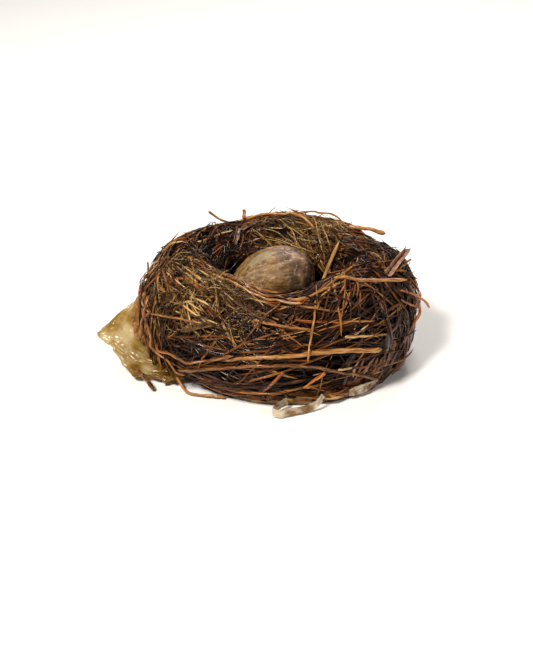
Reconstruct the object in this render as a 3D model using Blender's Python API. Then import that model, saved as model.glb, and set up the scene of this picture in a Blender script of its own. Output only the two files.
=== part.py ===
"""A cup nest woven of dark rootlets and dry stems, with a nut lying in its cup.

The nest stands on a pad of leaf mould that is cut flat underneath. A thick ring of wound rootlets
rises from the pad, and a bowl of finer roots lines the ring. Coarse stems, bark, dry leaves and
scraps of plastic film lie on the ring or stick out of it.

Places on the ring are given in ring coordinates: around, in degrees from +X towards +Y; turn, in
degrees round the ring's section, 0 on its outermost side, 90 on its crest and 180 on its innermost
side; and stand-off, the distance out from its surface.
"""

import math

import bmesh
import bpy
from mathutils import Vector
from mathutils.bvhtree import BVHTree

MM = 0.001
GAP = 0.3 * MM  # what neighbouring pieces keep between them

# Driving dimensions: the ring of wound rootlets.
RING_CENTRE_X = 2 * MM
RING_HALF_LENGTH = 58 * MM  # from the middle of the cup to the middle of the wall, along X
RING_HALF_WIDTH = 52 * MM  # the same along Y
WALL_HALF_THICKNESS = 15 * MM
WALL_MIDDLE_HEIGHT = 30 * MM
WALL_LOWER_DEPTH = 28 * MM
CREST_HEIGHT = 60.5 * MM
FRONT_DIP = 6 * MM  # how far the crest drops at the front
FRONT_DIP_SPREAD = 28  # degrees
CREST_LEAN = 7 * MM  # how far the crest leans in over the cup
CORNER_LEAN = 3.5 * MM  # what that lean gains between the axes
SECTION_SQUARENESS = 0.87
FRONT = 270  # degrees around

# Driving dimensions: the pad, the lining and the nut.
PAD_CENTRE = Vector((9 * MM, -2 * MM, 0))
PAD_FOOT_RADIUS = 55 * MM
PAD_HEIGHT = 9.7 * MM
LINING_THICKNESS = 6 * MM
LEAF_THICKNESS = 0.9 * MM
LIP_TURN = 116  # degrees of turn, where the lining's lip lies under the crest
CLEAR_OF_WALL = 0.75 * MM  # room for the flat facets of the ring and of the lining
CUP_FLOOR_HEIGHT = 23 * MM
NUT_CENTRE = Vector((-2 * MM, 9.5 * MM, 41 * MM))
NUT_HALF_LENGTH = 24 * MM
NUT_HALF_WIDTH = 17 * MM
NUT_HALF_HEIGHT = 16.3 * MM
NUT_HEADING = 22  # degrees from +X towards +Y

DARK = (0.045, 0.022, 0.012)
BROWN = (0.12, 0.055, 0.025)
RED_BROWN = (0.20, 0.075, 0.028)
TAN = (0.35, 0.19, 0.085)
STRAW = (0.45, 0.30, 0.13)
OLIVE = (0.19, 0.14, 0.05)
NUT_SKIN = (0.28, 0.20, 0.12)
FILM = (0.62, 0.52, 0.33)

UP = Vector((0, 0, 1))


# ---- meshes and materials ----

def make_material(name, colour, roughness):
    made = bpy.data.materials.new(name)
    made.use_nodes = True
    shader = made.node_tree.nodes["Principled BSDF"]
    shader.inputs["Base Color"].default_value = (*colour, 1)
    shader.inputs["Roughness"].default_value = roughness
    shader.inputs["Metallic"].default_value = 0
    return made


def make_object(name, points, faces, colour, roughness):
    """One named piece, with its faces turned outwards and its own material."""
    mesh = bpy.data.meshes.new(name)
    mesh.from_pydata([tuple(point) for point in points], [], faces)
    shape = bmesh.new()
    shape.from_mesh(mesh)
    bmesh.ops.recalc_face_normals(shape, faces=shape.faces)
    bmesh.ops.triangulate(shape, faces=shape.faces)
    shape.to_mesh(mesh)
    shape.free()
    mesh.shade_smooth()
    mesh.set_sharp_from_angle(angle=math.radians(50))
    mesh.materials.append(make_material(name, colour, roughness))
    made = bpy.data.objects.new(name, mesh)
    bpy.context.scene.collection.objects.link(made)
    return made


def bridge(rows, columns, wrap_rows=False, wrap_columns=True, first=0):
    """The quads between rows of points, each row holding the same number of columns."""
    faces = []
    for row in range(rows if wrap_rows else rows - 1):
        for column in range(columns if wrap_columns else columns - 1):
            across = (column + 1) % columns
            here, above = first + row * columns, first + (row + 1) % rows * columns
            faces.append((here + column, here + across, above + across, above + column))
    return faces


def two_sided(rows, columns):
    """The faces of a thin piece made of two grids of points, one on each side, joined at their rims."""
    over = rows * columns
    faces = bridge(rows, columns, wrap_columns=False)
    faces += bridge(rows, columns, wrap_columns=False, first=over)
    rim = [row * columns for row in range(rows)]
    rim += [(rows - 1) * columns + column for column in range(1, columns)]
    rim += [row * columns + columns - 1 for row in range(rows - 2, -1, -1)]
    rim += [column for column in range(columns - 2, 0, -1)]
    for here, after in zip(rim, rim[1:] + rim[:1]):
        faces.append((here, after, over + after, over + here))
    return faces


def spline(keys, count):
    """Evenly stepped values on the smooth curve through the keys, which are tuples of numbers."""
    keys = [Vector(key) for key in keys]
    found = []
    for step in range(count):
        place = step / (count - 1) * (len(keys) - 1)
        start = min(int(place), len(keys) - 2)
        part = place - start
        p1, p2 = keys[start], keys[start + 1]
        p0 = keys[start - 1] if start else 2 * p1 - p2
        p3 = keys[start + 2] if start + 2 < len(keys) else 2 * p2 - p1
        found.append(
            0.5
            * (
                2 * p1
                + (p2 - p0) * part
                + (2 * p0 - 5 * p1 + 4 * p2 - p3) * part**2
                + (3 * p1 - 3 * p2 + p3 - p0) * part**3
            )
        )
    return found


def wave(angle, turns, shift=0.0):
    return math.sin(turns * angle + shift)


# ---- the ring's surface ----

def crest_height(around):
    from_front = (around - FRONT + 180) % 360 - 180
    return CREST_HEIGHT - FRONT_DIP * math.exp(-((from_front / FRONT_DIP_SPREAD) ** 2))


def section_point(around, turn):
    """Distance out from the wall's middle line, and height above it, at this turn of the section."""
    angle = math.radians(turn)
    out = math.copysign(abs(math.cos(angle)) ** SECTION_SQUARENESS, math.cos(angle))
    rise = math.copysign(abs(math.sin(angle)) ** SECTION_SQUARENESS, math.sin(angle))
    lean = CREST_LEAN + CORNER_LEAN * wave(math.radians(around), 2) ** 2
    half_height = crest_height(around) - WALL_MIDDLE_HEIGHT if rise > 0 else WALL_LOWER_DEPTH
    return Vector((WALL_HALF_THICKNESS * out - lean * max(0, rise) ** 1.5, half_height * rise))


def wall_frame(around, turn, stand_off=0.0):
    """A point of the ring's lumpy surface, and the direction that points out of it there."""
    angle = math.radians(around)
    outwards = Vector((math.cos(angle), math.sin(angle), 0))
    along = section_point(around, turn + 0.05) - section_point(around, turn - 0.05)
    normal = (outwards * along.y - UP * along.x).normalized()
    lump = 0.9 * MM * wave(angle, 3, 1) * math.cos(2 * math.radians(turn))
    lump += 0.7 * MM * wave(angle, 7, 2 * math.radians(turn))
    section = section_point(around, turn)
    middle = Vector(
        (
            RING_CENTRE_X + RING_HALF_LENGTH * math.cos(angle),
            RING_HALF_WIDTH * math.sin(angle),
            WALL_MIDDLE_HEIGHT,
        )
    )
    point = middle + outwards * section.x + UP * section.y + normal * (lump + stand_off)
    return point, normal


# ---- leaf pad ----

def pad_point(around, height, stand_off=0.0):
    """A point of the pad's rim, which widens and wanders a little as it rises from its foot."""
    angle = math.radians(around)
    rise = height / PAD_HEIGHT
    radius = PAD_FOOT_RADIUS + 6 * MM * rise**0.6 - 2.5 * MM * rise**3
    radius += 0.9 * MM * wave(angle, 5, 0.4) + 0.6 * MM * wave(angle, 11, 2)
    sideways = Vector((math.cos(angle), math.sin(angle), 0))
    point = PAD_CENTRE + sideways * (radius + stand_off)
    point.x -= 3 * MM * rise
    point.z = height
    return point


def make_leaf_base():
    columns = 40
    heights = (0, 0.6 * MM, 3.5 * MM, 7 * MM, 9.1 * MM, PAD_HEIGHT)
    insets = (1.2 * MM, 0, 0, 0, 0, 1.5 * MM)
    points = [
        pad_point(column * 360 / columns, height, -inset)
        for height, inset in zip(heights, insets)
        for column in range(columns)
    ]
    faces = bridge(len(heights), columns)
    faces.append(tuple(reversed(range(columns))))
    faces.append(tuple(range(len(points) - columns, len(points))))
    return make_object("leaf_base", points, faces, BROWN, 0.8)


# ---- ring of wound rootlets and its lining ----

def make_woven_wall():
    columns, rows = 44, 16
    lowest = PAD_HEIGHT + GAP
    points = []
    for column in range(columns):
        for row in range(rows):
            point, _ = wall_frame(column * 360 / columns, row * 360 / rows)
            point.z = max(point.z, lowest)
            points.append(point)
    faces = bridge(columns, rows, wrap_rows=True)
    return make_object("woven_wall", points, faces, DARK, 0.6)


def lining_inside(around, turn):
    """A point of the cup's surface, where the lining thins towards its lip under the crest."""
    thickness = LINING_THICKNESS * min(1, (turn - LIP_TURN) / 35) ** 0.6
    point, _ = wall_frame(around, turn, CLEAR_OF_WALL + thickness)
    return point


def make_root_lining():
    """A bowl in the ring: a strip up its outside and one up its inside, joined at the lip."""
    columns = 30
    underside = PAD_HEIGHT + GAP
    outer_turns = (LIP_TURN, 128, 142, 158, 176, 196)
    inner_turns = (178, 164, 150, 138, 126, LIP_TURN + 1)
    rows = []
    for turn in outer_turns:
        rows.append([wall_frame(c * 360 / columns, turn, CLEAR_OF_WALL)[0] for c in range(columns)])
    foot = [wall_frame(c * 360 / columns, 214, 1.2 * MM)[0] for c in range(columns)]
    for row_radius in (1, 0.55):
        ring = []
        for point in foot:
            middle = Vector((RING_CENTRE_X, 0, 0))
            place = middle + (Vector((point.x, point.y, 0)) - middle) * row_radius
            place.z = underside
            ring.append(place)
        rows.append(ring)
    bottom_rows = len(rows)
    for inward, height in ((0.42, CUP_FLOOR_HEIGHT), (0.8, CUP_FLOOR_HEIGHT + 1.2 * MM)):
        ring = []
        for column in range(columns):
            around = column * 360 / columns
            edge = lining_inside(around, 180)
            place = Vector((RING_CENTRE_X, 0, 0)).lerp(edge, inward)
            place.z = height + 0.4 * MM * wave(math.radians(around), 4)
            ring.append(place)
        rows.append(ring)
    for turn in inner_turns:
        rows.append([lining_inside(c * 360 / columns, turn) for c in range(columns)])
    points = [point for ring in rows for point in ring]
    # The wall strip ends at the underside; the floor strip starts at the cup's middle.
    faces = bridge(bottom_rows, columns)
    faces += bridge(len(rows) - bottom_rows, columns, first=bottom_rows * columns)
    lip = len(points) - columns
    for column in range(columns):
        across = (column + 1) % columns
        faces.append((lip + column, lip + across, across, column))
    under = (bottom_rows - 1) * columns
    floor = bottom_rows * columns
    faces.append(tuple(range(under, under + columns)))
    faces.append(tuple(reversed(range(floor, floor + columns))))
    return make_object("root_lining", points, faces, DARK, 0.5)


# ---- the nut ----

def make_nut():
    """An egg-shaped nut on its side: one end drawn to a point, the other blunt with a small nub."""
    columns, rows = 24, 12
    along_axis = Vector((math.cos(math.radians(NUT_HEADING)), math.sin(math.radians(NUT_HEADING)), 0.06))
    along_axis.normalize()
    sideways = UP.cross(along_axis).normalized()
    upwards = along_axis.cross(sideways)
    points = [NUT_CENTRE - along_axis * NUT_HALF_LENGTH]
    for row in range(1, rows):
        angle = math.pi * row / rows
        place = -math.cos(angle)
        round_part = math.sin(angle) * (1 + 0.10 * place)
        pointed_part = max(0, -place) ** 3 * 0.16
        for column in range(columns):
            turn = 2 * math.pi * column / columns
            ridge = 1 + 0.018 * abs(wave(turn, 1.5, 0.4)) ** 6 * math.sin(angle)
            radius = (round_part - pointed_part * math.sin(angle)) * ridge
            points.append(
                NUT_CENTRE
                + along_axis * place * NUT_HALF_LENGTH
                + sideways * NUT_HALF_WIDTH * radius * math.cos(turn)
                + upwards * NUT_HALF_HEIGHT * radius * math.sin(turn)
            )
    points.append(NUT_CENTRE + along_axis * (NUT_HALF_LENGTH + 0.8 * MM))
    faces = bridge(rows - 1, columns, first=1)
    last = len(points) - 1
    for column in range(columns):
        across = (column + 1) % columns
        faces.append((0, 1 + across, 1 + column))
        faces.append((last, last - columns + column, last - columns + across))
    return make_object("nut", points, faces, NUT_SKIN, 0.45)


# ---- pads of fine stuff that lie on the ring ----

def make_wall_patch(name, around_range, turn_range, thickness, colour):
    """A cushion of moss or grass on the ring, thickest in its middle."""
    rows, columns = 11, 7
    points = []
    for side in (0, 1):
        for row in range(rows):
            for column in range(columns):
                u, v = row / (rows - 1), column / (columns - 1)
                # Corners are pulled in, so that the patch is an oval and not a rectangle.
                across = (2 * u - 1) * math.sqrt(1 - (2 * v - 1) ** 2 / 2)
                up = (2 * v - 1) * math.sqrt(1 - (2 * u - 1) ** 2 / 2)
                dome = max(0, 1 - across**2) * max(0, 1 - up**2)
                around = around_range[0] + (across + 1) / 2 * (around_range[1] - around_range[0])
                turn = turn_range[0] + (up + 1) / 2 * (turn_range[1] - turn_range[0])
                stand_off = 0.8 * MM + side * (0.7 * MM + thickness * dome**0.5)
                points.append(wall_frame(around, turn, stand_off)[0])
    return make_object(name, points, two_sided(rows, columns), colour, 0.85)


# ---- strands: stems, roots, straws, bark, leaves and bands of film ----

laid_points = []
laid_faces = []


def put_down(piece):
    """Adds the piece to what the next strands lie on."""
    first = len(laid_points)
    laid_points.extend(vertex.co.copy() for vertex in piece.data.vertices)
    laid_faces.extend(tuple(first + index for index in face.vertices) for face in piece.data.polygons)


def sweep(middles, ups, half_widths, half_thicknesses, sides):
    """A closed strand through the middles: an oval section whose thin way points along the ups."""
    points = []
    count = len(middles)
    for index, middle in enumerate(middles):
        tangent = middles[min(index + 1, count - 1)] - middles[max(index - 1, 0)]
        across = tangent.cross(ups[index]).normalized()
        up = across.cross(tangent).normalized()
        for side in range(sides):
            turn = 2 * math.pi * (side + 0.5) / sides
            points.append(
                middle
                + across * half_widths[index] * math.cos(turn)
                + up * half_thicknesses[index] * math.sin(turn)
            )
    faces = bridge(count, sides)
    faces.append(tuple(reversed(range(sides))))
    faces.append(tuple(range(len(points) - sides, len(points))))
    return points, faces


def even_out(lifts, middles):
    """Raises what lies beside a lifted place, so that the strand climbs to it gently."""
    climb = 0.35
    count = len(lifts)
    for order in (range(1, count), range(count - 2, -1, -1)):
        for index in order:
            before = index - order.step
            run = (middles[index] - middles[before]).length
            lifts[index] = max(lifts[index], lifts[before] - climb * run)


def lay_strand(name, middles, ups, widths, thicknesses, sides, colour, reach=0.0):
    """Lifts the strand along its ups, a little at a time, until it clears all that is laid already.

    Reach is how far out it first looks for pieces that cover its place, such as the moss pad.
    """
    lift_step, most_steps = 0.25 * MM, 120
    count = len(middles)
    half_widths = [width / 2 for width in widths]
    half_thicknesses = [thickness / 2 for thickness in thicknesses]
    below = BVHTree.FromPolygons(laid_points, laid_faces)
    lifts = [0.0] * count
    if reach:
        for index, (middle, up) in enumerate(zip(middles, ups)):
            _, _, _, depth = below.ray_cast(middle + up * reach, -up, reach)
            if depth is not None:
                lifts[index] = reach - depth + half_thicknesses[index] + GAP
    even_out(lifts, middles)
    for _ in range(most_steps):
        raised = [middle + up * lift for middle, up, lift in zip(middles, ups, lifts)]
        room = [[half + GAP for half in halves] for halves in (half_widths, half_thicknesses)]
        points, faces = sweep(raised, ups, *room, sides)
        touching = {face for face, _ in BVHTree.FromPolygons(points, faces).overlap(below)}
        if not touching:
            break
        for index in {corner // sides for face in touching for corner in faces[face]}:
            lifts[index] += lift_step
        even_out(lifts, middles)
    points, faces = sweep(raised, ups, half_widths, half_thicknesses, sides)
    piece = make_object(name, points, faces, colour, 0.55)
    put_down(piece)
    return piece


def taper(start, end, count):
    return [start + (end - start) * index / (count - 1) for index in range(count)]


def leaf_profile(width, count):
    """Widths along a leaf: narrow at its stalk, widest before the middle, drawn to a tip."""
    return [
        width * (0.15 + 0.85 * math.sin(math.pi * (index / (count - 1)) ** 0.8) ** 0.7)
        for index in range(count)
    ]


def lay_on_wall(name, route, widths, thicknesses, segments, colour, sides=6):
    """A strand along a route of (around, turn, stand-off in mm) on the ring."""
    places = spline(route, segments + 1)
    middles, ups = [], []
    for (around, turn, stand_off), thickness in zip(places, thicknesses):
        point, normal = wall_frame(around, turn, stand_off * MM + thickness / 2 + GAP)
        point.z = max(point.z, thickness / 2 + GAP)
        middles.append(point)
        ups.append(normal)
    return lay_strand(name, middles, ups, widths, thicknesses, sides, colour, reach=6 * MM)


def lay_stem(name, route, diameters, colour, segments=9):
    thick = taper(diameters[0] * MM, diameters[1] * MM, segments + 1)
    return lay_on_wall(name, route, thick, thick, segments, colour)


def lay_strip(name, route, width, colour, segments=7, thickness=1.0):
    widths = taper(width * MM, 0.8 * width * MM, segments + 1)
    flat = [thickness * MM] * (segments + 1)
    return lay_on_wall(name, route, widths, flat, segments, colour)


def lay_leaf(name, route, width, colour, segments=7):
    flat = [LEAF_THICKNESS] * (segments + 1)
    return lay_on_wall(name, route, leaf_profile(width * MM, segments + 1), flat, segments, colour)


def lay_free(name, route, size, colour, up=(0, 0, 1), segments=8, sides=6):
    """A strand through free points in mm; size is its width and its thickness, also in mm."""
    middles = [point * MM for point in spline(route, segments + 1)]
    ups = [Vector(up).normalized()] * (segments + 1)
    widths, thicknesses = ([measure * MM] * (segments + 1) for measure in size)
    return lay_strand(name, middles, ups, widths, thicknesses, sides, colour)


# ---- the flap of film at the left ----

FLAP_FACES = Vector((-0.35, -0.8, 0.45)).normalized()


def make_film_left():
    """A crumpled flap: its inner edge lies on the ring and the pad, its outer edge has a loose tip."""
    rows, columns = 15, 7
    on_ring = ((178, -2, 2), (181, -16, 2), (186, -30, 2), (194, -44, 3))
    held_at = [wall_frame(around, turn, off * MM)[0] for around, turn, off in on_ring]
    held_at += [pad_point(around, height * MM, 2.2 * MM) for around, height in ((207, 7), (215, 4.5))]
    inner = spline(held_at, rows)
    outer = spline(
        (
            (-75.5, 1, 31),
            (-85, -3, 25),
            (-93.5, -7, 18.5),
            (-97, -9, 14.5),
            (-92, -12, 12),
            (-87, -17, 8.5),
            (-82, -25, 4.4),
            (-75, -34, 2.4),
            (-67, -36, 4),
            (-60, -41, 2.6),
        ),
        rows,
    )
    middle_rows = []
    for row in range(rows):
        line = []
        for column in range(columns):
            part = column / (columns - 1)
            point = inner[row].lerp(outer[row] * MM, part)
            billow = math.sin(math.pi * part) * (1.5 + 1.3 * wave(row * 0.9 + part * 2.2, 1))
            line.append(point + FLAP_FACES * billow * MM)
        middle_rows.append(line)
    half = 0.55 * MM
    points = []
    for side in (1, -1):
        for row in range(rows):
            for column in range(columns):
                line = middle_rows[row]
                along = middle_rows[min(row + 1, rows - 1)][column] - middle_rows[max(row - 1, 0)][column]
                across = line[min(column + 1, columns - 1)] - line[max(column - 1, 0)]
                normal = along.cross(across).normalized()
                points.append(middle_rows[row][column] + normal * half * side)
    return make_object("film_left", points, two_sided(rows, columns), FILM, 0.25)


# ---- putting the nest together ----

for old in list(bpy.data.objects):
    bpy.data.objects.remove(old, do_unlink=True)

put_down(make_leaf_base())
put_down(make_woven_wall())
put_down(make_root_lining())
put_down(make_nut())
put_down(make_wall_patch("moss_pad", (190, 250), (-14, 72), 4.2 * MM, OLIVE))
put_down(make_wall_patch("grass_tuft", (48, 84), (84, 116), 1.6 * MM, STRAW))
put_down(make_film_left())

# Bands and scraps of film at the foot of the nest.
band_route = [tuple(pad_point(around, 4.3 * MM, 1.9 * MM) / MM) for around in (233, 243, 253, 262)]
lay_free("film_band", band_route, (1.3, 7.0), FILM, segments=6)
fold = ((5.5, -64.3, 5), (-0.3, -67.8, 3.4), (-1.9, -71.4, 2.9), (1.8, -73.8, 2.9), (10, -71, 3))
lay_free("film_front", (*fold, (17, -68, 3.4), (21, -66, 5), (23.5, -63.5, 8)), (1.1, 4.6), FILM, segments=16)
lay_free(
    "film_right",
    ((52.8, -43.8, 5.6), (45.8, -50.3, 4.8), (37.5, -55.3, 4.6)),
    (7.5, 1.0),
    FILM,
    up=(0.66, -0.75, 0.1),
    segments=5,
)
lay_strip("film_wrap", ((352, 20, 0.3), (347, 0, 0.6), (339, -22, 0.3), (331, -40, 0.2)), 9, FILM)

# Dry leaves and bark, pressed into the ring before the stems.
lay_leaf("leaf_left", ((187, 14, 0.5), (191, -6, 2), (195, -24, 5)), 9, BROWN)
lay_leaf("leaf_gold", ((229, 12, 0), (235, 20, 0.6), (243, 26, 0)), 8, OLIVE)
lay_leaf("leaf_low", ((253, -22, 0), (259, -16, 0.4), (266, -12, 0)), 8, BROWN)
lay_leaf("leaf_right", ((322, -2, 0), (318, -16, 0.5), (312, -34, 0)), 11, RED_BROWN)
lay_leaf("leaf_back", ((96, 40, 0), (84, 20, 0.5), (74, -4, 0)), 14, BROWN)
lay_leaf("leaf_back_low", ((128, -6, 0), (118, -20, 0.4), (106, -34, 0)), 12, RED_BROWN)
lay_strip("bark_inside_left", ((136, 128, 0), (128, 118, 0.6), (121, 106, 0)), 5.5, BROWN)
lay_strip("bark_inside_back", ((120, 112, 0), (111, 104, 0.5), (103, 98, 0)), 4, TAN)
lay_strip("bark_right", ((336, 56, 0), (349, 58, 1.4), (364, 52, 6)), 4.5, RED_BROWN, thickness=1.3)

# Coarse stems round the ring, the undermost first.
lay_stem(
    "front_stem_low",
    ((222, -34, 0), (249, -9, 0.4), (275, -3, 0.2), (296, -20, 0), (316, -48, 0)),
    (2.6, 1.8),
    BROWN,
    12,
)
lay_stem(
    "front_stem_long",
    ((245, -3, 0), (266, 4, 0.2), (288, 5, 0.2), (314, -4, 0.4)),
    (2.4, 3.8),
    TAN,
    12,
)
lay_stem(
    "front_stem_left",
    ((201, -20, 0), (216, -12, 0.2), (234, -8, 0.2), (252, 3, 0)),
    (2.0, 1.6),
    BROWN,
)
lay_stem("straw_right", ((297, 14, 0), (310, 8, 0.3), (322, 1, 0)), (2.0, 1.5), STRAW)
lay_stem("straw_low_right", ((293, -13, 0), (308, -22, 0.2)), (1.6, 1.3), TAN, 6)
lay_stem("stem_mid_right", ((276, 44, 0), (288, 35, 0.3), (300, 26, 0)), (2.0, 1.4), RED_BROWN, 8)
lay_stem("stem_mid_left", ((258, 41, 0), (271, 36, 0.3), (284, 29, 0)), (1.9, 1.5), BROWN, 8)
lay_stem("stem_diagonal", ((270, 74, 0), (262, 42, 0.3), (254, 12, 0)), (1.7, 1.3), BROWN, 8)
lay_stem(
    "root_upright_front",
    ((288, 66, 0), (284, 38, 0.3), (281, 12, 0), (280, 0, 0)),
    (1.5, 1.2),
    TAN,
    10,
)
lay_stem(
    "red_stem_left",
    ((271, -8, 0), (266, -26, 0.4), (262, -42, 0.3)),
    (2.4, 2.0),
    RED_BROWN,
    6,
)
lay_stem(
    "red_stem_right",
    ((287, -11, 0), (283, -22, 0.4), (279, -31, 0.2)),
    (2.4, 1.6),
    RED_BROWN,
    6,
)
lay_strip(
    "straw_flat_right",
    ((312, 54, 0), (307, 36, 0.3), (302, 18, 0)),
    2.4,
    STRAW,
    thickness=1.1,
)
lay_stem(
    "root_kinked",
    ((268, 83, 0), (284, 54, 0.3), (298, 42, 0.3), (306, 57, 0)),
    (1.6, 1.3),
    BROWN,
    12,
)
lay_stem(
    "root_left_a",
    ((170, 30, 4), (178, 22, 1), (190, 16, 0.5), (204, 12, 0.6), (220, 18, 0.4), (238, 24, 0)),
    (1.8, 1.3),
    TAN,
    12,
)
lay_stem(
    "root_left_b",
    ((203, 24, 0.4), (209, 0, 0.6), (214, -20, 0.4), (228, -34, 0)),
    (2.2, 1.6),
    BROWN,
    12,
)
lay_stem("root_left_c", ((212, 16, 0.3), (204, -4, 2), (197, -22, 8)), (2.0, 1.6), BROWN, 8)
lay_stem("root_left_d", ((174, 40, 0.5), (180, 22, 1.2), (185, 4, 1.6)), (1.7, 1.3), BROWN, 8)

# The rim: a bundle of roots that runs along the crest, and the stems of the back.
lay_stem(
    "rim_root_left_a",
    ((205, 80, 0), (232, 86, 0.2), (249, 84, 0.2), (262, 78, 0.2), (280, 61, 0)),
    (2.0, 1.6),
    TAN,
    12,
)
lay_stem(
    "rim_root_left_b",
    ((206, 88, 0), (234, 94, 0.2), (254, 91, 0.2), (272, 82, 0)),
    (1.8, 1.5),
    BROWN,
    12,
)
lay_stem(
    "rim_root_left_c",
    ((222, 98, 0), (240, 101, 0.3), (252, 98, 0.2), (269, 85, 0)),
    (1.7, 1.5),
    TAN,
    10,
)
lay_stem(
    "rim_root_right",
    ((273, 76, 0), (290, 74, 0.2), (303, 81, 0.2), (328, 98, 0)),
    (2.2, 1.5),
    TAN,
    12,
)
lay_stem(
    "rim_stem_back_left",
    ((172, 52, 0.4), (160, 50, 0.2), (146, 62, 0.4), (128, 72, 0.2)),
    (2.2, 1.6),
    TAN,
    10,
)
lay_stem(
    "rim_stem_back",
    ((116, 78, 0), (100, 84, 0.4), (82, 96, 0.3), (62, 112, 0)),
    (2.0, 1.6),
    TAN,
    12,
)
lay_stem(
    "rim_stem_back_right",
    ((78, 66, 0), (60, 72, 0.4), (44, 70, 0.2), (28, 78, 0)),
    (2.2, 1.5),
    RED_BROWN,
    12,
)
lay_stem(
    "back_stem_high",
    ((48, 20, 0), (70, 32, 0.3), (96, 26, 0.2), (120, 34, 0)),
    (2.8, 2.0),
    BROWN,
    12,
)
lay_stem(
    "back_stem_low",
    ((58, -18, 0), (82, -6, 0.3), (108, -10, 0.2), (136, -4, 0)),
    (3.0, 2.2),
    TAN,
    12,
)
lay_stem(
    "side_stem_right",
    ((330, -12, 0), (350, 6, 0.4), (372, 14, 0.2), (394, 4, 0)),
    (2.4, 1.6),
    RED_BROWN,
    12,
)
lay_stem(
    "side_stem_left",
    ((140, 4, 0), (152, 20, 0.4), (164, 16, 0.4), (174, 4, 0.4)),
    (2.2, 1.6),
    BROWN,
    10,
)

# Ends that stick out of the ring.
lay_stem("stub_back_right", ((39, 88, 0.2), (31, 78, 1), (23, 58, 5)), (2.8, 3.2), TAN, 6)
lay_stem(
    "root_loop_back",
    ((82, 74, 0.4), (70, 74, 3), (56, 76, 3.6), (43, 86, 0.4)),
    (1.6, 1.3),
    BROWN,
    12,
)
lay_stem("twig_back_left", ((118, 78, 0.3), (126, 74, 2.5), (133, 70, 9)), (1.4, 2.0), BROWN, 6)
lay_stem("stub_top", ((113, 84, 0.3), (111, 77, 1.2), (110, 70, 4)), (2.4, 2.8), RED_BROWN, 5)
lay_stem("twig_right_long", ((338, 32, 0.4), (347, 16, 3), (354, 0, 7)), (1.5, 1.8), RED_BROWN, 6)
lay_stem("twig_right_up", ((344, 50, 0.4), (352, 48, 2), (359, 44, 5)), (1.3, 1.5), BROWN, 5)
lay_stem("twig_right_short", ((334, 24, 0.4), (339, 16, 1.5), (343, 8, 4)), (1.5, 1.3), BROWN, 5)
lay_free(
    "twig_over_right",
    ((29, -38, 62.5), (48, -36.4, 61.8), (67, -34.5, 61)),
    (2.4, 2.4),
    TAN,
    segments=6,
)
lay_free(
    "twig_in_cup",
    ((34.4, 13.5, 60.5), (26.5, 8.2, 41.5), (23.2, 6, 33.5)),
    (2.6, 2.6),
    STRAW,
    up=(-0.5, -0.5, 0.7),
    segments=6,
)
lay_free(
    "root_loop_ground",
    ((-52.6, -41.5, 5), (-46.5, -49.7, 1.6), (-36, -53, 1.5), (-26.5, -55, 1.8)),
    (1.9, 1.9),
    BROWN,
)
lay_free(
    "stub_low_left",
    ((-73.6, -34.9, 6.8), (-68.7, -40.3, 4.4), (-64.3, -47.5, 2.2)),
    (2.8, 2.8),
    BROWN,
    segments=5,
)
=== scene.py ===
"""The looks of a cup nest: wound rootlets, dry stems, leaf mould, scraps of film, and a nut in the cup.

Sections follow the nest as it is put together, from the pad it stands on up to its rim. Lengths are
in metres. Places on the ring are in ring coordinates: around, in degrees from +X towards +Y; turn,
in degrees round the ring's section, 0 outermost, 90 on the crest, 180 innermost; and stand-off.
"""

import math

import bmesh
import bpy
import numpy as np
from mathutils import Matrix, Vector


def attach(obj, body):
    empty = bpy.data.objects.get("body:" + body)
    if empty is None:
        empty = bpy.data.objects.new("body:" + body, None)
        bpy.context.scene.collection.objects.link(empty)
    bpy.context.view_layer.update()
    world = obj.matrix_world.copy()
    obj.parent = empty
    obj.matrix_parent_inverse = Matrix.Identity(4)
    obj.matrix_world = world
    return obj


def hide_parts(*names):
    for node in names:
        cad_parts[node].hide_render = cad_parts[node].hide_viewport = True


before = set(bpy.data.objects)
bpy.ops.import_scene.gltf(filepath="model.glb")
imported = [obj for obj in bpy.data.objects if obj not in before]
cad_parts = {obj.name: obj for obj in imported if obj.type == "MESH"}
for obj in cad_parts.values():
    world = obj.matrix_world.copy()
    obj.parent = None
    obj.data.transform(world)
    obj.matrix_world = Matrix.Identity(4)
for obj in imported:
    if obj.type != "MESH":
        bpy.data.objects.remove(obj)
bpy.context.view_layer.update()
bpy.ops.object.select_all(action="DESELECT")


# ---- the pad of leaf mould ----
# Damp leaves and fibres, trodden flat by the bird and matted together. It is the nest's foot, cut
# level underneath, and only its rim shows below the ring.

MM = 0.001
FLOOR_CLEARANCE = 0.25 * MM  # what loose fibres keep to the surface that the nest stands on


def linear(hex_colour):
    """A colour from its sRGB hex value, as the linear colour that shaders take."""
    parts = [int(hex_colour[start : start + 2], 16) / 255 for start in (1, 3, 5)]
    return (*[part / 12.92 if part < 0.04045 else ((part + 0.055) / 1.055) ** 2.4 for part in parts], 1)


def add_node(tree, kind, settings=None, **inputs):
    """Adds a node; inputs are its sockets by name, each given a value or an output to link from."""
    node = tree.nodes.new(kind)
    for name, value in (settings or {}).items():
        setattr(node, name, value)
    for name, value in inputs.items():
        socket = node.inputs[int(name[1:])] if name[1:].isdigit() else node.inputs[name.replace("_", " ")]
        if isinstance(value, bpy.types.NodeSocket):
            tree.links.new(value, socket)
        else:
            socket.default_value = value
    return node


def maths(tree, operation, *values):
    """The result of one sum, whose values fill the node's sockets in order."""
    sockets = {f"_{index}": value for index, value in enumerate(values)}
    return add_node(tree, "ShaderNodeMath", {"operation": operation}, **sockets).outputs[0]


def noise(tree, place, scale, detail, **inputs):
    """Cloudy noise from 0 to 1 over a place."""
    clouds = add_node(tree, "ShaderNodeTexNoise", Vector=place, Scale=scale, Detail=detail, **inputs)
    return clouds.outputs["Fac"]


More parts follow.
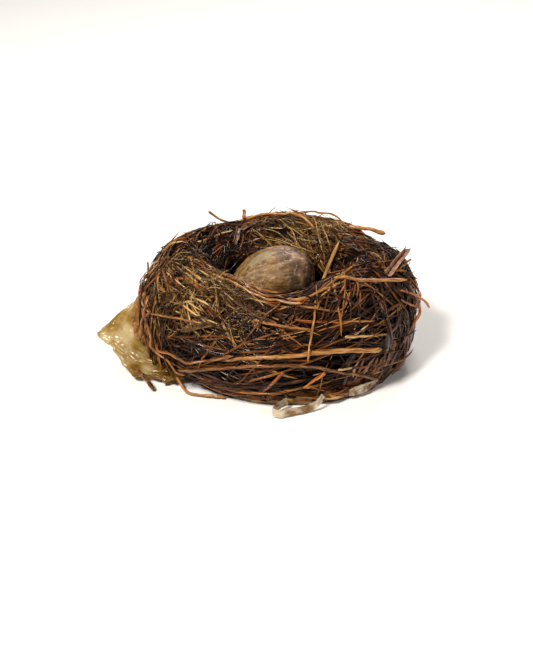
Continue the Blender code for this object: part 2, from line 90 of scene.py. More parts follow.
def stretch(tree, place, scale):
    """The place with each axis scaled, so that what is drawn over it is drawn out."""
    return add_node(tree, "ShaderNodeMapping", Vector=place, Scale=scale).outputs[0]


def ranged(tree, value, low, high, to_low=0.0, to_high=1.0, kind="LINEAR"):
    """The value, with the range from low to high laid on the range from to_low to to_high."""
    return add_node(tree, "ShaderNodeMapRange", {"interpolation_type": kind}, Value=value, From_Min=low,
                    From_Max=high, To_Min=to_low, To_Max=to_high).outputs[0]


def over(tree, factor, under, top):
    """One colour over another, by a factor from 0 to 1."""
    return add_node(tree, "ShaderNodeMix", {"data_type": "RGBA"}, _0=factor, _6=under, _7=top).outputs[2]


def attribute(tree, name):
    return add_node(tree, "ShaderNodeAttribute", {"attribute_name": name}).outputs["Fac"]


def object_place(tree):
    return add_node(tree, "ShaderNodeTexCoord").outputs["Object"]


def relief(tree, height, strength, depth):
    """Bumps in the surface, as a normal."""
    return add_node(tree, "ShaderNodeBump", Strength=strength, Distance=depth, Height=height).outputs[0]


def colour_ramp(tree, factor, *stops):
    """Colours at places from 0 to 1, blended between them."""
    ramp = add_node(tree, "ShaderNodeValToRGB", Fac=factor)
    elements = ramp.color_ramp.elements
    while len(elements) < len(stops):
        elements.new(0.5)
    for element, (place, hex_colour) in zip(elements, stops):
        element.position = place
        element.color = linear(hex_colour)
    return ramp.outputs["Color"]


def new_material(name):
    """A material with a Principled shader; returns it, its node tree and the shader."""
    made = bpy.data.materials.new(name)
    made.use_nodes = True
    return made, made.node_tree, made.node_tree.nodes["Principled BSDF"]


def connect(tree, shader, **inputs):
    for name, value in inputs.items():
        socket = shader.inputs[name.replace("_", " ")]
        if isinstance(value, bpy.types.NodeSocket):
            tree.links.new(value, socket)
        else:
            socket.default_value = value


def select_only(piece):
    bpy.ops.object.select_all(action="DESELECT")
    piece.select_set(True)
    bpy.context.view_layer.objects.active = piece


def cad_copy(node, name):
    """A copy of a CAD node with its loose triangles merged into one closed skin."""
    piece = bpy.data.objects.new(name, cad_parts[node].data.copy())
    bpy.context.scene.collection.objects.link(piece)
    select_only(piece)
    bpy.ops.mesh.customdata_custom_splitnormals_clear()
    bpy.ops.object.mode_set(mode="EDIT")
    bpy.ops.mesh.select_all(action="SELECT")
    bpy.ops.mesh.remove_doubles(threshold=0.001 * MM)
    bpy.ops.mesh.tris_convert_to_quads()
    bpy.ops.object.mode_set(mode="OBJECT")
    piece.data.materials.clear()
    return piece


def apply_modifiers(piece):
    select_only(piece)
    for modifier in list(piece.modifiers):
        bpy.ops.object.modifier_apply(modifier=modifier.name)


def roughen(piece, levels, inwards, lumps):
    """Smooths the skin, sinks it inwards and breaks it up with lumps, each a (size, height)."""
    smooth = piece.modifiers.new("smooth", "SUBSURF")
    smooth.levels = smooth.render_levels = levels
    sink = piece.modifiers.new("sink", "DISPLACE")
    sink.strength = -inwards
    sink.mid_level = 0
    for index, (size, height) in enumerate(lumps):
        texture = bpy.data.textures.new(f"{piece.name}_lumps_{index}", "CLOUDS")
        texture.noise_scale = size
        texture.noise_depth = 2
        lump = piece.modifiers.new(f"lumps_{index}", "DISPLACE")
        lump.texture = texture
        lump.texture_coords = "LOCAL"
        lump.strength = height
    apply_modifiers(piece)
    piece.data.shade_smooth()


def hand_over(piece, slot, *nodes):
    """The piece moves with the nest and stands for these CAD nodes, which are hidden. The slot is not used.
    """
    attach(piece, "root")
    if nodes:
        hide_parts(*nodes)


def leaf_mould():
    # Leaf mould: rotted leaves pressed wet, so it is dark and blotchy with a dull damp shine.
    made, tree, shader = new_material("leaf_mould")
    place = object_place(tree)
    blotches = noise(tree, place, 220.0, 4.0, Roughness=0.6)
    edges = noise(tree, stretch(tree, place, (90.0, 90.0, 900.0)), 1.0, 3.0)
    half = maths(tree, "MULTIPLY", maths(tree, "ADD", blotches, edges), 0.5)
    colour = colour_ramp(tree, half, (0.36, "#120903"), (0.5, "#3a2210"), (0.64, "#6e4a26"))
    connect(tree, shader, Base_Color=colour, Roughness=0.55, Normal=relief(tree, half, 0.6, 0.6 * MM))
    return made


pad = cad_copy("leaf_base", "leaf_pad")
roughen(pad, 3, 1.6 * MM, ((6 * MM, 2.2 * MM), (1.8 * MM, 1.2 * MM)))
pad_points = np.array([vertex.co for vertex in pad.data.vertices])
pad_points[:, 2] = np.where(pad_points[:, 2] < 1.2 * MM, 0, pad_points[:, 2])
pad.data.vertices.foreach_set("co", pad_points.ravel())
pad.data.materials.append(leaf_mould())
hand_over(pad, "leaf_mould", "leaf_base")


# ---- the ring of wound rootlets ----
# Dark hair-like roots, wound round and round while they were damp and pulled through each other, so
# that they hold as a felt. Each is a tapering fibre that dives under its neighbours and comes up.

RING_CENTRE_X = 2 * MM
RING_HALF_LENGTH = 58 * MM
RING_HALF_WIDTH = 52 * MM
WALL_HALF_THICKNESS = 15 * MM
WALL_MIDDLE_HEIGHT = 30 * MM
WALL_LOWER_DEPTH = 28 * MM
CREST_HEIGHT = 60.5 * MM
FRONT_DIP = 6 * MM
FRONT_DIP_SPREAD = 28  # degrees
CREST_LEAN = 7 * MM
CORNER_LEAN = 3.5 * MM
SECTION_SQUARENESS = 0.87
LINING_THICKNESS = 6.75 * MM
LIP_TURN = 116  # degrees of turn, where the lining's lip lies under the crest
MEAN_RADIUS = 62 * MM  # of a fibre's way round the ring
TURN_DEGREE = 0.42 * MM  # about how far one degree of turn is, over the section
TURN_LIMITS = (-80, 200)  # from the ring's foot outside to its foot inside, in degrees of turn
TIP_SHARE = 0.3  # of a fibre's radius, which it thins out towards at its ends
POINT_RADIUS = 0.02 * MM

draw = np.random.default_rng(11)  # one seeded generator, so that every run lays the same fibres


def section_place(around, turn):
    """How far out and how high the section's rim is, from the middle of the wall."""
    angle = np.radians(turn)
    out = np.sign(np.cos(angle)) * np.abs(np.cos(angle)) ** SECTION_SQUARENESS
    rise = np.sign(np.sin(angle)) * np.abs(np.sin(angle)) ** SECTION_SQUARENESS
    lean = CREST_LEAN + CORNER_LEAN * np.sin(2 * np.radians(around)) ** 2
    from_front = (around - 90) % 360 - 180
    crest = CREST_HEIGHT - FRONT_DIP * np.exp(-((from_front / FRONT_DIP_SPREAD) ** 2))
    half_height = np.where(rise > 0, crest - WALL_MIDDLE_HEIGHT, WALL_LOWER_DEPTH)
    return WALL_HALF_THICKNESS * out - lean * np.maximum(rise, 0) ** 1.5, half_height * rise


def ring_surface(around, turn, stand_off):
    """Points over the ring and the directions out of it, for arrays of ring coordinates."""
    around, turn, stand_off = np.broadcast_arrays(around, turn, stand_off)
    angle, section = np.radians(around), np.radians(turn)
    outwards = np.stack((np.cos(angle), np.sin(angle), 0 * angle), -1)
    upwards = np.array((0, 0, 1.0))
    look = 2.5  # degrees to each side, over which the slope is taken
    out_after, rise_after = section_place(around, turn + look)
    out_before, rise_before = section_place(around, turn - look)
    normal = outwards * (rise_after - rise_before)[..., None] - upwards * (out_after - out_before)[..., None]
    normal /= np.linalg.norm(normal, axis=-1, keepdims=True)
    lump = 0.9 * MM * np.sin(3 * angle + 1) * np.cos(2 * section)
    lump = lump + 0.7 * MM * np.sin(7 * angle + 2 * section)
    lining = LINING_THICKNESS * np.clip((turn - LIP_TURN) / 35, 0, 1) ** 0.8
    out, rise = section_place(around, turn)
    middle_x = RING_CENTRE_X + RING_HALF_LENGTH * np.cos(angle)
    middle = np.stack((middle_x, RING_HALF_WIDTH * np.sin(angle), WALL_MIDDLE_HEIGHT + 0 * angle), -1)
    point = middle + outwards * out[..., None] + upwards * rise[..., None]
    return point + normal * (lump + lining + stand_off)[..., None], normal


def walk(around, turn, heading, lengths, steps, wander, turn_range):
    """Ring coordinates along fibres that set out with a heading (degrees, 0 is round the ring)."""
    around, turn, heading = (np.array(value, float) for value in (around, turn, heading))
    step = lengths / (steps - 1)
    arounds, turns = [], []
    for _ in range(steps):
        arounds.append(around.copy())
        turns.append(turn.copy())
        out, _ = section_place(around, turn)
        angle = np.radians(around)
        across_x, across_y = (RING_HALF_LENGTH + out) * np.sin(angle), (RING_HALF_WIDTH + out) * np.cos(angle)
        out_after, rise_after = section_place(around, turn + 2)
        out_before, rise_before = section_place(around, turn - 2)
        per_degree = np.hypot(out_after - out_before, rise_after - rise_before) / 4
        around += np.degrees(step * np.cos(np.radians(heading)) / np.hypot(across_x, across_y))
        turn += step * np.sin(np.radians(heading)) / np.maximum(per_degree, 0.25 * MM)
        turn = np.clip(turn, *turn_range)
        heading += draw.normal(0, wander, len(heading))
        # Now and then one bends sharply, as a root does at an old fork.
        heading += np.where(draw.uniform(0, 1, len(heading)) < 0.07, draw.normal(0, 24, len(heading)), 0)
    return np.stack(arounds, 1), np.stack(turns, 1)


def over_and_under(count, steps, depths, weave, ends):
    """Stand-offs along woven fibres: a depth each, a gentle weave, and ends that dive or stand out."""
    along = np.linspace(0, 1, steps)
    # More of them lie deep than high, because a power above one thins them out towards the top.
    depth = depths[0] + (depths[1] - depths[0]) * draw.uniform(0, 1, (count, 1)) ** 1.3
    pace, start = draw.uniform(0.6, 2.2, (count, 1)), draw.uniform(0, 1, (count, 1))
    waves = weave * np.sin(2 * math.pi * (along * pace + start))
    first, last = draw.uniform(*ends, (count, 1)), draw.uniform(*ends, (count, 1))
    return depth + waves + first * (1 - along) ** 5 + last * along**5


def fibres(middles, normals, radii, flatness, shade, sides, kink=0.08 * MM, darken=0.0):
    """A batch of fibres of one kind: rows of points, the direction out at each, and a radius each.

    Each has a shade from 0, the darkest, to 1, drawn from the range shade and shifted by darken, which
    callers use as painted shade on the fibres that lie deep.
    """
    count, steps, _ = middles.shape
    middles = middles + draw.normal(0, kink, middles.shape)
    middles[..., 2] = np.maximum(middles[..., 2], radii[:, None] + FLOOR_CLEARANCE)
    along = np.linspace(0, 1, steps)
    # They taper over about their last fifth, and end in a point.
    ends = TIP_SHARE + (1 - TIP_SHARE) * np.clip(np.sin(math.pi * (0.04 + 0.92 * along)) * 1.6, 0, 1)
    thick = radii[:, None] * ends * draw.uniform(0.88, 1.12, (count, steps))
    thick[:, (0, -1)] = POINT_RADIUS
    flatness = np.broadcast_to(flatness, count)[:, None]
    return {
        "middles": middles,
        "normals": normals + draw.normal(0, 0.35, (count, 1, 3)),
        "half_widths": thick * np.sqrt(flatness),
        "half_thicknesses": thick / np.sqrt(flatness),
        "shades": np.clip(draw.uniform(*shade, count) ** 1.5 + darken, 0, 1),
        "offsets": draw.uniform(0, 400, (count, 2)),
        "sides": sides,
    }


def fibre_mesh(name, batches):
    """Joins batches of fibres into one mesh. Each fibre has its own small cell of the bake's map."""
    total = sum(len(batch["middles"]) for batch in batches)
    columns = max(1, round(math.sqrt(total / 7)))  # cells are about seven times as long as they are tall
    rows = math.ceil(total / columns)
    points, corners, cells, grain, shades = [], [], [], [], []
    first_point = first_fibre = 0
    for batch in batches:
        middles, sides = batch["middles"], batch["sides"]
        count, steps, _ = middles.shape
        tangents = np.gradient(middles, axis=1)
        across = np.cross(tangents, batch["normals"])
        across /= np.linalg.norm(across, axis=-1, keepdims=True) + 1e-12
        up = np.cross(across, tangents)
        up /= np.linalg.norm(up, axis=-1, keepdims=True) + 1e-12
        angle = 2 * math.pi * np.arange(sides) / sides
        wide = (batch["half_widths"][..., None] * np.cos(angle))[..., None]
        thick = (batch["half_thicknesses"][..., None] * np.sin(angle))[..., None]
        ring = middles[:, :, None] + across[:, :, None] * wide
        ring = ring + up[:, :, None] * thick
        ring[..., 2] = np.maximum(ring[..., 2], FLOOR_CLEARANCE)
        points.append(ring.reshape(-1, 3))
        shades.append(np.repeat(batch["shades"], steps * sides))
        places = np.meshgrid(np.arange(count), np.arange(steps - 1), np.arange(sides), indexing="ij")
        fibre, step, side = (part.ravel() for part in places)
        steps_at = np.stack((step, step + 1, step + 1, step), 1)
        sides_at = np.stack((side, side, side + 1, side + 1), 1)
        corners.append(first_point + (fibre[:, None] * steps + steps_at) * sides + sides_at % sides)
        length = np.linalg.norm(np.diff(middles, axis=1), axis=-1).sum(1)
        around_it = 2 * math.pi * batch["half_widths"].max(1)
        u, v = steps_at / (steps - 1), sides_at / sides
        cell = first_fibre + fibre
        column, row = cell % columns, cell // columns
        # A cell keeps a margin, so that its colours don't run into the next one's.
        across_map = (column[:, None] + 0.02 + 0.96 * u) / columns
        up_map = (row[:, None] + 0.1 + 0.8 * v) / rows
        cells.append(np.stack((across_map, up_map), -1))
        offset = batch["offsets"][fibre][:, None]
        in_mm = np.stack((u * length[fibre][:, None], v * around_it[fibre][:, None]), -1) / MM
        grain.append(in_mm + offset)
        first_point += count * steps * sides
        first_fibre += count
    points, corners, cells, grain, shades = map(np.concatenate, (points, corners, cells, grain, shades))
    mesh = bpy.data.meshes.new(name)
    mesh.vertices.add(len(points))
    mesh.vertices.foreach_set("co", points.ravel())
    mesh.loops.add(corners.size)
    mesh.loops.foreach_set("vertex_index", corners.ravel())
    mesh.polygons.add(len(corners))
    mesh.polygons.foreach_set("loop_start", np.arange(0, corners.size, 4))
    for map_name, values in (("OFBake", cells), ("Grain", grain)):
        layer = mesh.uv_layers.new(name=map_name)
        layer.data.foreach_set("uv", values.reshape(-1, 2).ravel())
    mesh.attributes.new("shade", "FLOAT", "POINT").data.foreach_set("value", shades)
    mesh.update(calc_edges=True)
    mesh.validate()
    mesh.shade_smooth()
    return mesh


def fibre_piece(name, material, slot, batches, *nodes):
    """The batches as one visible piece, which stands for the CAD nodes that it replaces."""
    mesh = fibre_mesh(name, batches)
    mesh.materials.append(material)
    piece = bpy.data.objects.new(name, mesh)
    bpy.context.scene.collection.objects.link(piece)
    hand_over(piece, slot, *nodes)
    return piece


def grain_place(tree):
    """Where a point is along and across its own fibre or blade, in millimetres."""
    return add_node(tree, "ShaderNodeUVMap", {"uv_map": "Grain"}).outputs[0]


def plant_fibre(name, stops, roughness, streak=0.8, shine=0.5, coat_ior=1.25, cells=(0.2, 3.0)):
    """Dried plant fibre: skin streaked along its length, each fibre in its own shade."""
    made, tree, shader = new_material(name)
    grain = grain_place(tree)
    # By default the streaks are about 0.3 mm wide and 5 mm long, as the cells of a root's skin lie.
    streaks = noise(tree, stretch(tree, grain, (*cells, 1.0)), 1.0, 3.0, Roughness=0.65)
    soft = noise(tree, grain, 0.12, 1.0)
    own = attribute(tree, "shade")
    centred = maths(tree, "MULTIPLY_ADD", streaks, streak, -streak / 2)
    patchy = maths(tree, "MULTIPLY_ADD", soft, 0.5, -0.25)
    shift = maths(tree, "ADD", centred, patchy)
    tone = add_node(tree, "ShaderNodeMath", {"operation": "ADD", "use_clamp": True}, _0=own, _1=shift)
    rough = ranged(tree, soft, 0.0, 1.0, roughness - 0.12, roughness + 0.14)
    connect(tree, shader, Base_Color=colour_ramp(tree, tone.outputs[0], *stops), Roughness=rough,
            Normal=relief(tree, streaks, 0.5, 0.12 * MM))
    connect(tree, shader, Specular_IOR_Level=0.1, Coat_Weight=shine, Coat_Roughness=0.1, Coat_IOR=coat_ior)
    return made


# Root skin: thin bark, dark when damp, with a resinous shine where it was pulled tight.
rootlet_skin = plant_fibre(
    "rootlet_skin",
    (
        (0.0, "#090402"), (0.24, "#190b05"), (0.42, "#3b1d0b"), (0.54, "#5c3718"),
        (0.64, "#7c4216"), (0.75, "#935f2a"), (0.86, "#9d7540"), (1.0, "#ddb37c"),
    ),
    roughness=0.5,
)
# The same roots where they are still damp: dark, with a hard gloss.
damp_root_skin = plant_fibre(
    "damp_root_skin",
    ((0.0, "#0a0402"), (0.4, "#2a1408"), (0.7, "#552c12"), (1.0, "#87521f")),
    roughness=0.35,
    shine=1.0,
    coat_ior=1.48,
)
# Shreds of inner bark: leathery, flat and pinkish brown.
bark_shred_skin = plant_fibre(
    "bark_shred_skin",
    ((0.0, "#150a05"), (0.35, "#3c2114"), (0.65, "#6f452d"), (1.0, "#a97c5c")),
    roughness=0.42,
    shine=0.6,
    coat_ior=1.4,
)


def felt():
    # Matted root hairs between the rootlets, painted almost black: painted shade for the gaps deep in the
    # windings, where light is lost.
    made, tree, shader = new_material("painted_shade_felt")
    hairs = noise(tree, object_place(tree), 700.0, 4.0, Distortion=2.0)
    colour = colour_ramp(tree, hairs, (0.45, "#040201"), (0.62, "#0e0703"), (0.75, "#24140a"))
    connect(tree, shader, Base_Color=colour, Roughness=0.8, Specular_IOR_Level=0.1,
            Normal=relief(tree, hairs, 0.8, 0.5 * MM))
    return made


painted_shade_felt = felt()
wall_core = cad_copy("woven_wall", "wall_felt")
roughen(wall_core, 2, 3.2 * MM, ((5 * MM, 3 * MM), (1.5 * MM, 1.5 * MM)))
wall_core.data.materials.append(painted_shade_felt)
hand_over(wall_core, "rootlets", "woven_wall")


def straightened(middles, share, most):
    """Pulls fibres towards the straight lines that touch their middles, as stiff stems lie."""
    steps = middles.shape[1]
    centre = middles[:, steps // 2]
    along = middles[:, steps // 2 + 1] - middles[:, steps // 2 - 1]
    along /= np.linalg.norm(along, axis=1, keepdims=True)
    lengths = np.linalg.norm(np.diff(middles, axis=1), axis=-1).sum(1)
    run = np.linspace(-0.5, 0.5, steps)[None, :, None] * lengths[:, None, None]
    away = centre[:, None] + along[:, None] * run - middles
    reach = np.linalg.norm(away, axis=-1).max(1)
    return middles + away * (share * np.minimum(1, most / np.maximum(reach, 0.1 * MM)))[:, None, None]


SUNK = 0.9 * MM  # how far the fibres as a whole lie under the CAD ring's skin, which their tips reach
MOST_STRAIGHTENING = 4.5 * MM  # how far a stiff fibre's ends spring from the ring's curve
RIM_SUNK = 1.3 * MM  # what is added to that along the front of the rim, where the bird sat


def settled(around, turn):
    """How far the windings have settled: unevenly all round, and more at the front of the rim."""
    angle, section = np.radians(around), np.radians(turn)
    uneven = np.sin(5 * angle + 2 * section + 2.3) + 0.8 * np.sin(9 * angle - 3 * section + 0.7)
    from_front = (around - 90) % 360 - 180
    front_rim = np.exp(-((from_front / 45) ** 2) - ((turn - 92) / 28) ** 2)
    return SUNK + RIM_SUNK * front_rim + uneven * 0.9 * MM


def wind(count, arounds, turns, heading, radius, length, depths, shade, steps, sides, stiff=(0.35, 0.95),
         wander=2.4, weave=0.5, ends=(-2.5, 0.8), flatness=(1, 1.8), bundle=4):
    """Fibres wound over a stretch of the ring, between two arounds and two turns.

    The heading is a mean and a spread in degrees. Radii, lengths, depths, weave and ends are in mm, and
    a depth is how far a fibre stands off the windings. Each fibre has so many steps along it and sides
    round it. It is pulled straight by a share drawn from stiff, its heading wanders by so many degrees
    a step, and so many of them lie in a bundle.
    """
    # They lie in bundles of a few side by side, as a beakful is, with gaps between the bundles.
    group = draw.integers(0, max(1, count // bundle), count)
    around = draw.uniform(*arounds, count)[group] + draw.normal(0, 6, count)
    turn = draw.uniform(*turns, count)[group] + draw.normal(0, 4, count)
    lengths = draw.uniform(*length, count) * MM
    headings = draw.normal(*heading, count)[group] + draw.normal(0, 5, count)
    headings += 180 * (draw.uniform(0, 1, count) < 0.5)
    # A fibre's own middle lies at its drawn place, so it sets out half its length before it.
    half = lengths / 2
    around = around - np.degrees(half * np.cos(np.radians(headings)) / MEAN_RADIUS)
    turn = np.clip(turn - half * np.sin(np.radians(headings)) / TURN_DEGREE, *TURN_LIMITS)
    path = walk(around, turn, headings, lengths, steps, wander, TURN_LIMITS)
    stand_off = over_and_under(count, steps, np.array(depths) * MM, weave * MM, np.array(ends) * MM)
    middles, normals = ring_surface(*path, stand_off - settled(*path))
    middles = straightened(middles, draw.uniform(*stiff, count), MOST_STRAIGHTENING)
    # Painted shade: fibres that lie deep are darkened, and those that stand out most a little lightened,
    # because little light reaches the deep ones.
    deep = np.clip((stand_off.mean(1) / MM - 0.8) * 0.24, -0.55, 0.1)
    radii, flattened = draw.uniform(*radius, count) * MM, draw.uniform(*flatness, count)
    return fibres(middles, normals, radii, flattened, shade, sides, darken=deep)


ALL_ROUND = (0, 360)
LEVEL, SLANTED = (0, 13), (0, 34)  # headings in degrees: their mean and their spread
# The deep windings take only the darkest shades: painted shade in the gaps between the bundles above them.
fibre_piece("rootlets_deep", rootlet_skin, "rootlets", [
    wind(520, ALL_ROUND, (-68, 104), LEVEL, (0.4, 0.85), (30, 75), (-3.6, -1.2), (0.0, 0.42), 14, 4),
    wind(460, ALL_ROUND, (-72, 108), SLANTED, (0.2, 0.45), (18, 50), (-3.2, -0.8), (0.0, 0.5), 11, 3),
])
fibre_piece("rootlets_upper", rootlet_skin, "rootlets", [
    # Level windings at the front and back, and slanting ones at the two ends of the ring.
    wind(150, (215, 325), (-55, 30), (2, 10), (0.3, 0.75), (25, 75), (-0.4, 1.8), (0.15, 0.85), 14, 5),
    wind(120, (225, 322), (15, 75), (0, 20), (0.3, 0.65), (20, 60), (-0.4, 1.8), (0.1, 0.85), 13, 5),
    wind(170, (150, 215), (-45, 85), (80, 32), (0.3, 0.65), (16, 42), (-0.6, 2.2), (0.15, 0.9), 11, 5),
    wind(150, (318, 405), (-55, 85), (75, 36), (0.3, 0.65), (16, 44), (-0.6, 2.0), (0.0, 0.7), 11, 5),
    wind(230, (45, 150), (-55, 80), (5, 28), (0.3, 0.7), (22, 60), (-0.6, 1.8), (0.15, 0.85), 13, 5),
    # The windings of the crest.
    wind(50, (205, 262), (68, 104), (-7, 6), (0.32, 0.62), (35, 70), (0.0, 1.8), (0.2, 0.8), 16, 5),
    wind(44, (275, 335), (68, 104), (5, 14), (0.3, 0.6), (25, 60), (0.0, 1.6), (0.1, 0.8), 14, 5),
    wind(90, (45, 150), (62, 110), (-4, 12), (0.3, 0.65), (30, 70), (0.0, 1.8), (0.2, 0.9), 14, 5),
    wind(60, (-30, 45), (50, 110), (35, 26), (0.3, 0.6), (20, 45), (0.0, 1.8), (0.0, 0.7), 12, 5),
    # Stalks that hang down in front of the flap of film at the left.
    wind(46, (190, 214), (-44, 16), (88, 22), (0.3, 0.6), (14, 30), (3.0, 6.5), (0.2, 0.85), 10, 5,
         stiff=(0.7, 1), weave=0.2, ends=(-1, 1.5), bundle=3),
])
fibre_piece("rim_roots", rootlet_skin, "rootlets", [
    # Long roots laid side by side along the front of the rim, from its left down to its middle.
    wind(30, (218, 256), (70, 98), (-8, 6), (0.3, 0.6), (45, 80), (0.8, 2.8), (0.35, 0.85), 18, 6,
         stiff=(0, 0.35), bundle=6, ends=(-2.5, 0.2)),
    wind(14, (290, 322), (70, 96), (10, 8), (0.34, 0.6), (30, 60), (0.8, 2.4), (0.3, 0.85), 16, 6,
         stiff=(0, 0.4), bundle=4, ends=(-2.5, 0.4)),
    # Sticks that cross the windings at the right of the front, leaning both ways.
    wind(14, (296, 326), (25, 80), (52, 10), (0.4, 0.7), (18, 34), (1.4, 2.8), (0.3, 0.75), 10, 6,
         stiff=(0.8, 1), bundle=2, ends=(-2.5, 1.5)),
    wind(12, (305, 345), (30, 85), (118, 12), (0.4, 0.7), (16, 34), (1.4, 3.0), (0.25, 0.75), 10, 6,
         stiff=(0.8, 1), bundle=2, ends=(-2, 1.5)),
    # Roots that carry the stick over the right of the rim.
    wind(26, (309, 327), (82, 104), (10, 30), (0.3, 0.5), (12, 26), (1.0, 3.4), (0.1, 0.7), 12, 5,
         stiff=(0, 0.5), ends=(-4, 0)),
    # A fan of roots at the left of the front, which the bird drew down from the rim to the foot.
    wind(26, (205, 240), (10, 70), (-20, 12), (0.35, 0.65), (20, 42), (1.2, 3.0), (0.3, 0.8), 12, 6,
         stiff=(0.2, 0.8), bundle=5, ends=(-2.5, 1)),
])
fibre_piece("rootlets_loose_ends", rootlet_skin, "rootlets", [
    # Stiff ends that sprang out of the weaving all round.
    wind(210, ALL_ROUND, (-20, 108), (30, 60), (0.14, 0.4), (9, 24), (-0.6, 1.6), (0.1, 0.85), 9, 4,
         stiff=(0.8, 1), ends=(-3, 6), bundle=2),
    wind(100, ALL_ROUND, (-50, 60), (0, 34), (0.25, 0.5), (16, 36), (0.2, 2.0), (0.1, 0.75), 10, 4,
         stiff=(0.8, 1), ends=(-2, 4), bundle=2),
    # A lattice of sprung stems along the left end.
    wind(26, (174, 204), (-5, 66), (75, 40), (0.35, 0.6), (12, 26), (1.6, 4.5), (0.25, 0.8), 10, 5,
         stiff=(0.8, 1), ends=(-2.5, 3.5), bundle=2),
    # The tuft on the back of the rim that a short stub stands in.
    wind(22, (110, 117), (82, 96), (0, 40), (0.25, 0.45), (7, 15), (0.6, 3.2), (0.2, 0.8), 9, 5, bundle=2),
])
fibre_piece("rootlets_damp", damp_root_skin, "rootlets", [
    wind(230, ALL_ROUND, (-60, 90), (0, 26), (0.2, 0.42), (14, 44), (-0.8, 1.8), (0.1, 0.9), 12, 4,
         bundle=9),
    wind(120, (240, 320), (-40, 80), (0, 24), (0.2, 0.42), (14, 44), (-0.8, 1.8), (0.1, 0.9), 12, 4,
         bundle=9),
])
fibre_piece("bark_shreds", bark_shred_skin, "bark", [
    # Flat shreds of bark stand on end round the right end of the ring, and fan out at its foot.
    wind(90, (322, 356), (-52, 50), (86, 14), (0.5, 1.0), (14, 36), (-0.4, 1.8), (0.1, 0.8), 10, 5,
         flatness=(3, 7), bundle=9),
    wind(100, (302, 345), (-58, -8), (58, 16), (0.4, 0.75), (12, 28), (0.2, 2.0), (0.2, 0.9), 9, 5,
         flatness=(2, 5), bundle=9),
    wind(60, ALL_ROUND, (-40, 70), (0, 40), (0.4, 0.8), (10, 24), (-0.4, 1.4), (0.1, 0.7), 9, 5,
         flatness=(2, 6), bundle=2),
])
for name, turns in (("rootlets_fine_low", (-70, 14)), ("rootlets_fine_high", (10, 110))):
    fibre_piece(name, rootlet_skin, "rootlets", [
        wind(290, ALL_ROUND, turns, (0, 30), (0.15, 0.28), (16, 48), (-1.2, 1.6), (0.0, 0.9), 11, 4),
        wind(330, ALL_ROUND, turns, (0, 55), (0.1, 0.17), (9, 28), (-1, 2.2), (0.1, 0.95), 9, 3, wander=7),
    ])


# ---- the lining of the cup ----
# Finer and darker roots, wound tight and pressed smooth by the bird's breast. They fill the cup's
# wall and cross its floor under the nut.

lining_skin = plant_fibre(
    "lining_root_skin",
    ((0.0, "#0a0402"), (0.35, "#200d05"), (0.6, "#452009"), (0.82, "#734217"), (1.0, "#a2733a")),
    roughness=0.45,
    shine=0.7,
    coat_ior=1.35,
)
lining_core = cad_copy("root_lining", "lining_felt")
roughen(lining_core, 2, 1.2 * MM, ((4 * MM, 2 * MM), (1.5 * MM, 1.2 * MM)))
lining_core.data.materials.append(painted_shade_felt)
hand_over(lining_core, "lining_roots", "root_lining")


FLOOR_HALF_LENGTH = 35 * MM
FLOOR_HALF_WIDTH = 29 * MM


def cross_floor(count):
    """Roots that cross the cup's floor from wall to wall, level with each other."""
    steps = 9
    # Their ends lie at least 70 degrees apart round the cup.
    start, finish = draw.uniform(0, 360, (2, count))
    finish = np.where(np.abs((finish - start + 180) % 360 - 180) < 70, start + 130, finish)
    along = np.linspace(0, 1, steps)[None, :, None]
    ends = []
    for at in (start, finish):
        angle = np.radians(at)
        end_x = RING_CENTRE_X + FLOOR_HALF_LENGTH * np.cos(angle)
        ends.append(np.stack((end_x, FLOOR_HALF_WIDTH * np.sin(angle)), -1)[:, None])
    flat = ends[0] * (1 - along) + ends[1] * along
    sag = 5 * MM * (2 * along - 1) ** 4 + draw.uniform(22.5 * MM, 25 * MM, (count, 1, 1))
    middles = np.concatenate((flat, sag), -1)
    normals = np.zeros_like(middles)
    normals[..., 2] = 1
    return fibres(middles, normals, draw.uniform(0.2 * MM, 0.45 * MM, count), 1.3, (0.1, 0.8), 4, 0.4 * MM)


fibre_piece("lining_roots", lining_skin, "lining_roots", [
    wind(640, ALL_ROUND, (98, 186), (0, 18), (0.22, 0.5), (22, 60), (-1.4, 0.8), (0.0, 0.75), 12, 4,
         stiff=(0, 0.3)),
    wind(160, (95, 165), (112, 176), (-25, 14), (0.25, 0.5), (14, 34), (-0.6, 1.2), (0.1, 0.9), 11, 4,
         stiff=(0, 0.3)),
    # Strands slant down to the right at the back, and up to the right at the back's left.
    wind(150, (45, 112), (96, 165), (-15, 12), (0.28, 0.6), (22, 55), (-0.2, 1.6), (0.3, 1.0), 13, 5,
         stiff=(0, 0.4)),
    wind(110, (108, 165), (100, 170), (35, 16), (0.28, 0.6), (16, 40), (-0.2, 1.4), (0.1, 0.8), 12, 5,
         stiff=(0, 0.4)),
    wind(130, (-25, 50), (96, 165), (10, 34), (0.25, 0.5), (16, 42), (-0.2, 1.6), (0.2, 1.0), 12, 5,
         stiff=(0, 0.4)),
    wind(420, ALL_ROUND, (98, 180), (0, 40), (0.1, 0.2), (12, 34), (-0.6, 1.4), (0.3, 1.0), 9, 3, wander=7),
    wind(120, (135, 178), (103, 158), (30, 22), (0.25, 0.5), (14, 36), (-0.2, 1.8), (0.1, 0.85), 11, 4,
         stiff=(0, 0.5)),
    wind(90, (0, 45), (103, 155), (12, 28), (0.25, 0.5), (14, 36), (-0.2, 1.8), (0.05, 0.75), 11, 4,
         stiff=(0, 0.5)),
    cross_floor(220),
])


# ---- the nut ----
# A weathered nut the size of a small egg, lying in the cup on its side. Its skin is fibrous and
# worn, with two seams that run from end to end, and it was never part of the weaving.

NUT_CENTRE = Vector((-2 * MM, 9.5 * MM, 40.5 * MM))
NUT_HALF_LENGTH = 24 * MM
NUT_HALF_WIDTH = 17 * MM
NUT_HALF_HEIGHT = 15.8 * MM
NUT_HEADING = math.radians(22)
SEAM_TURN, CREASE_TURN = 1.15, 2.35  # round the nut's length, in radians


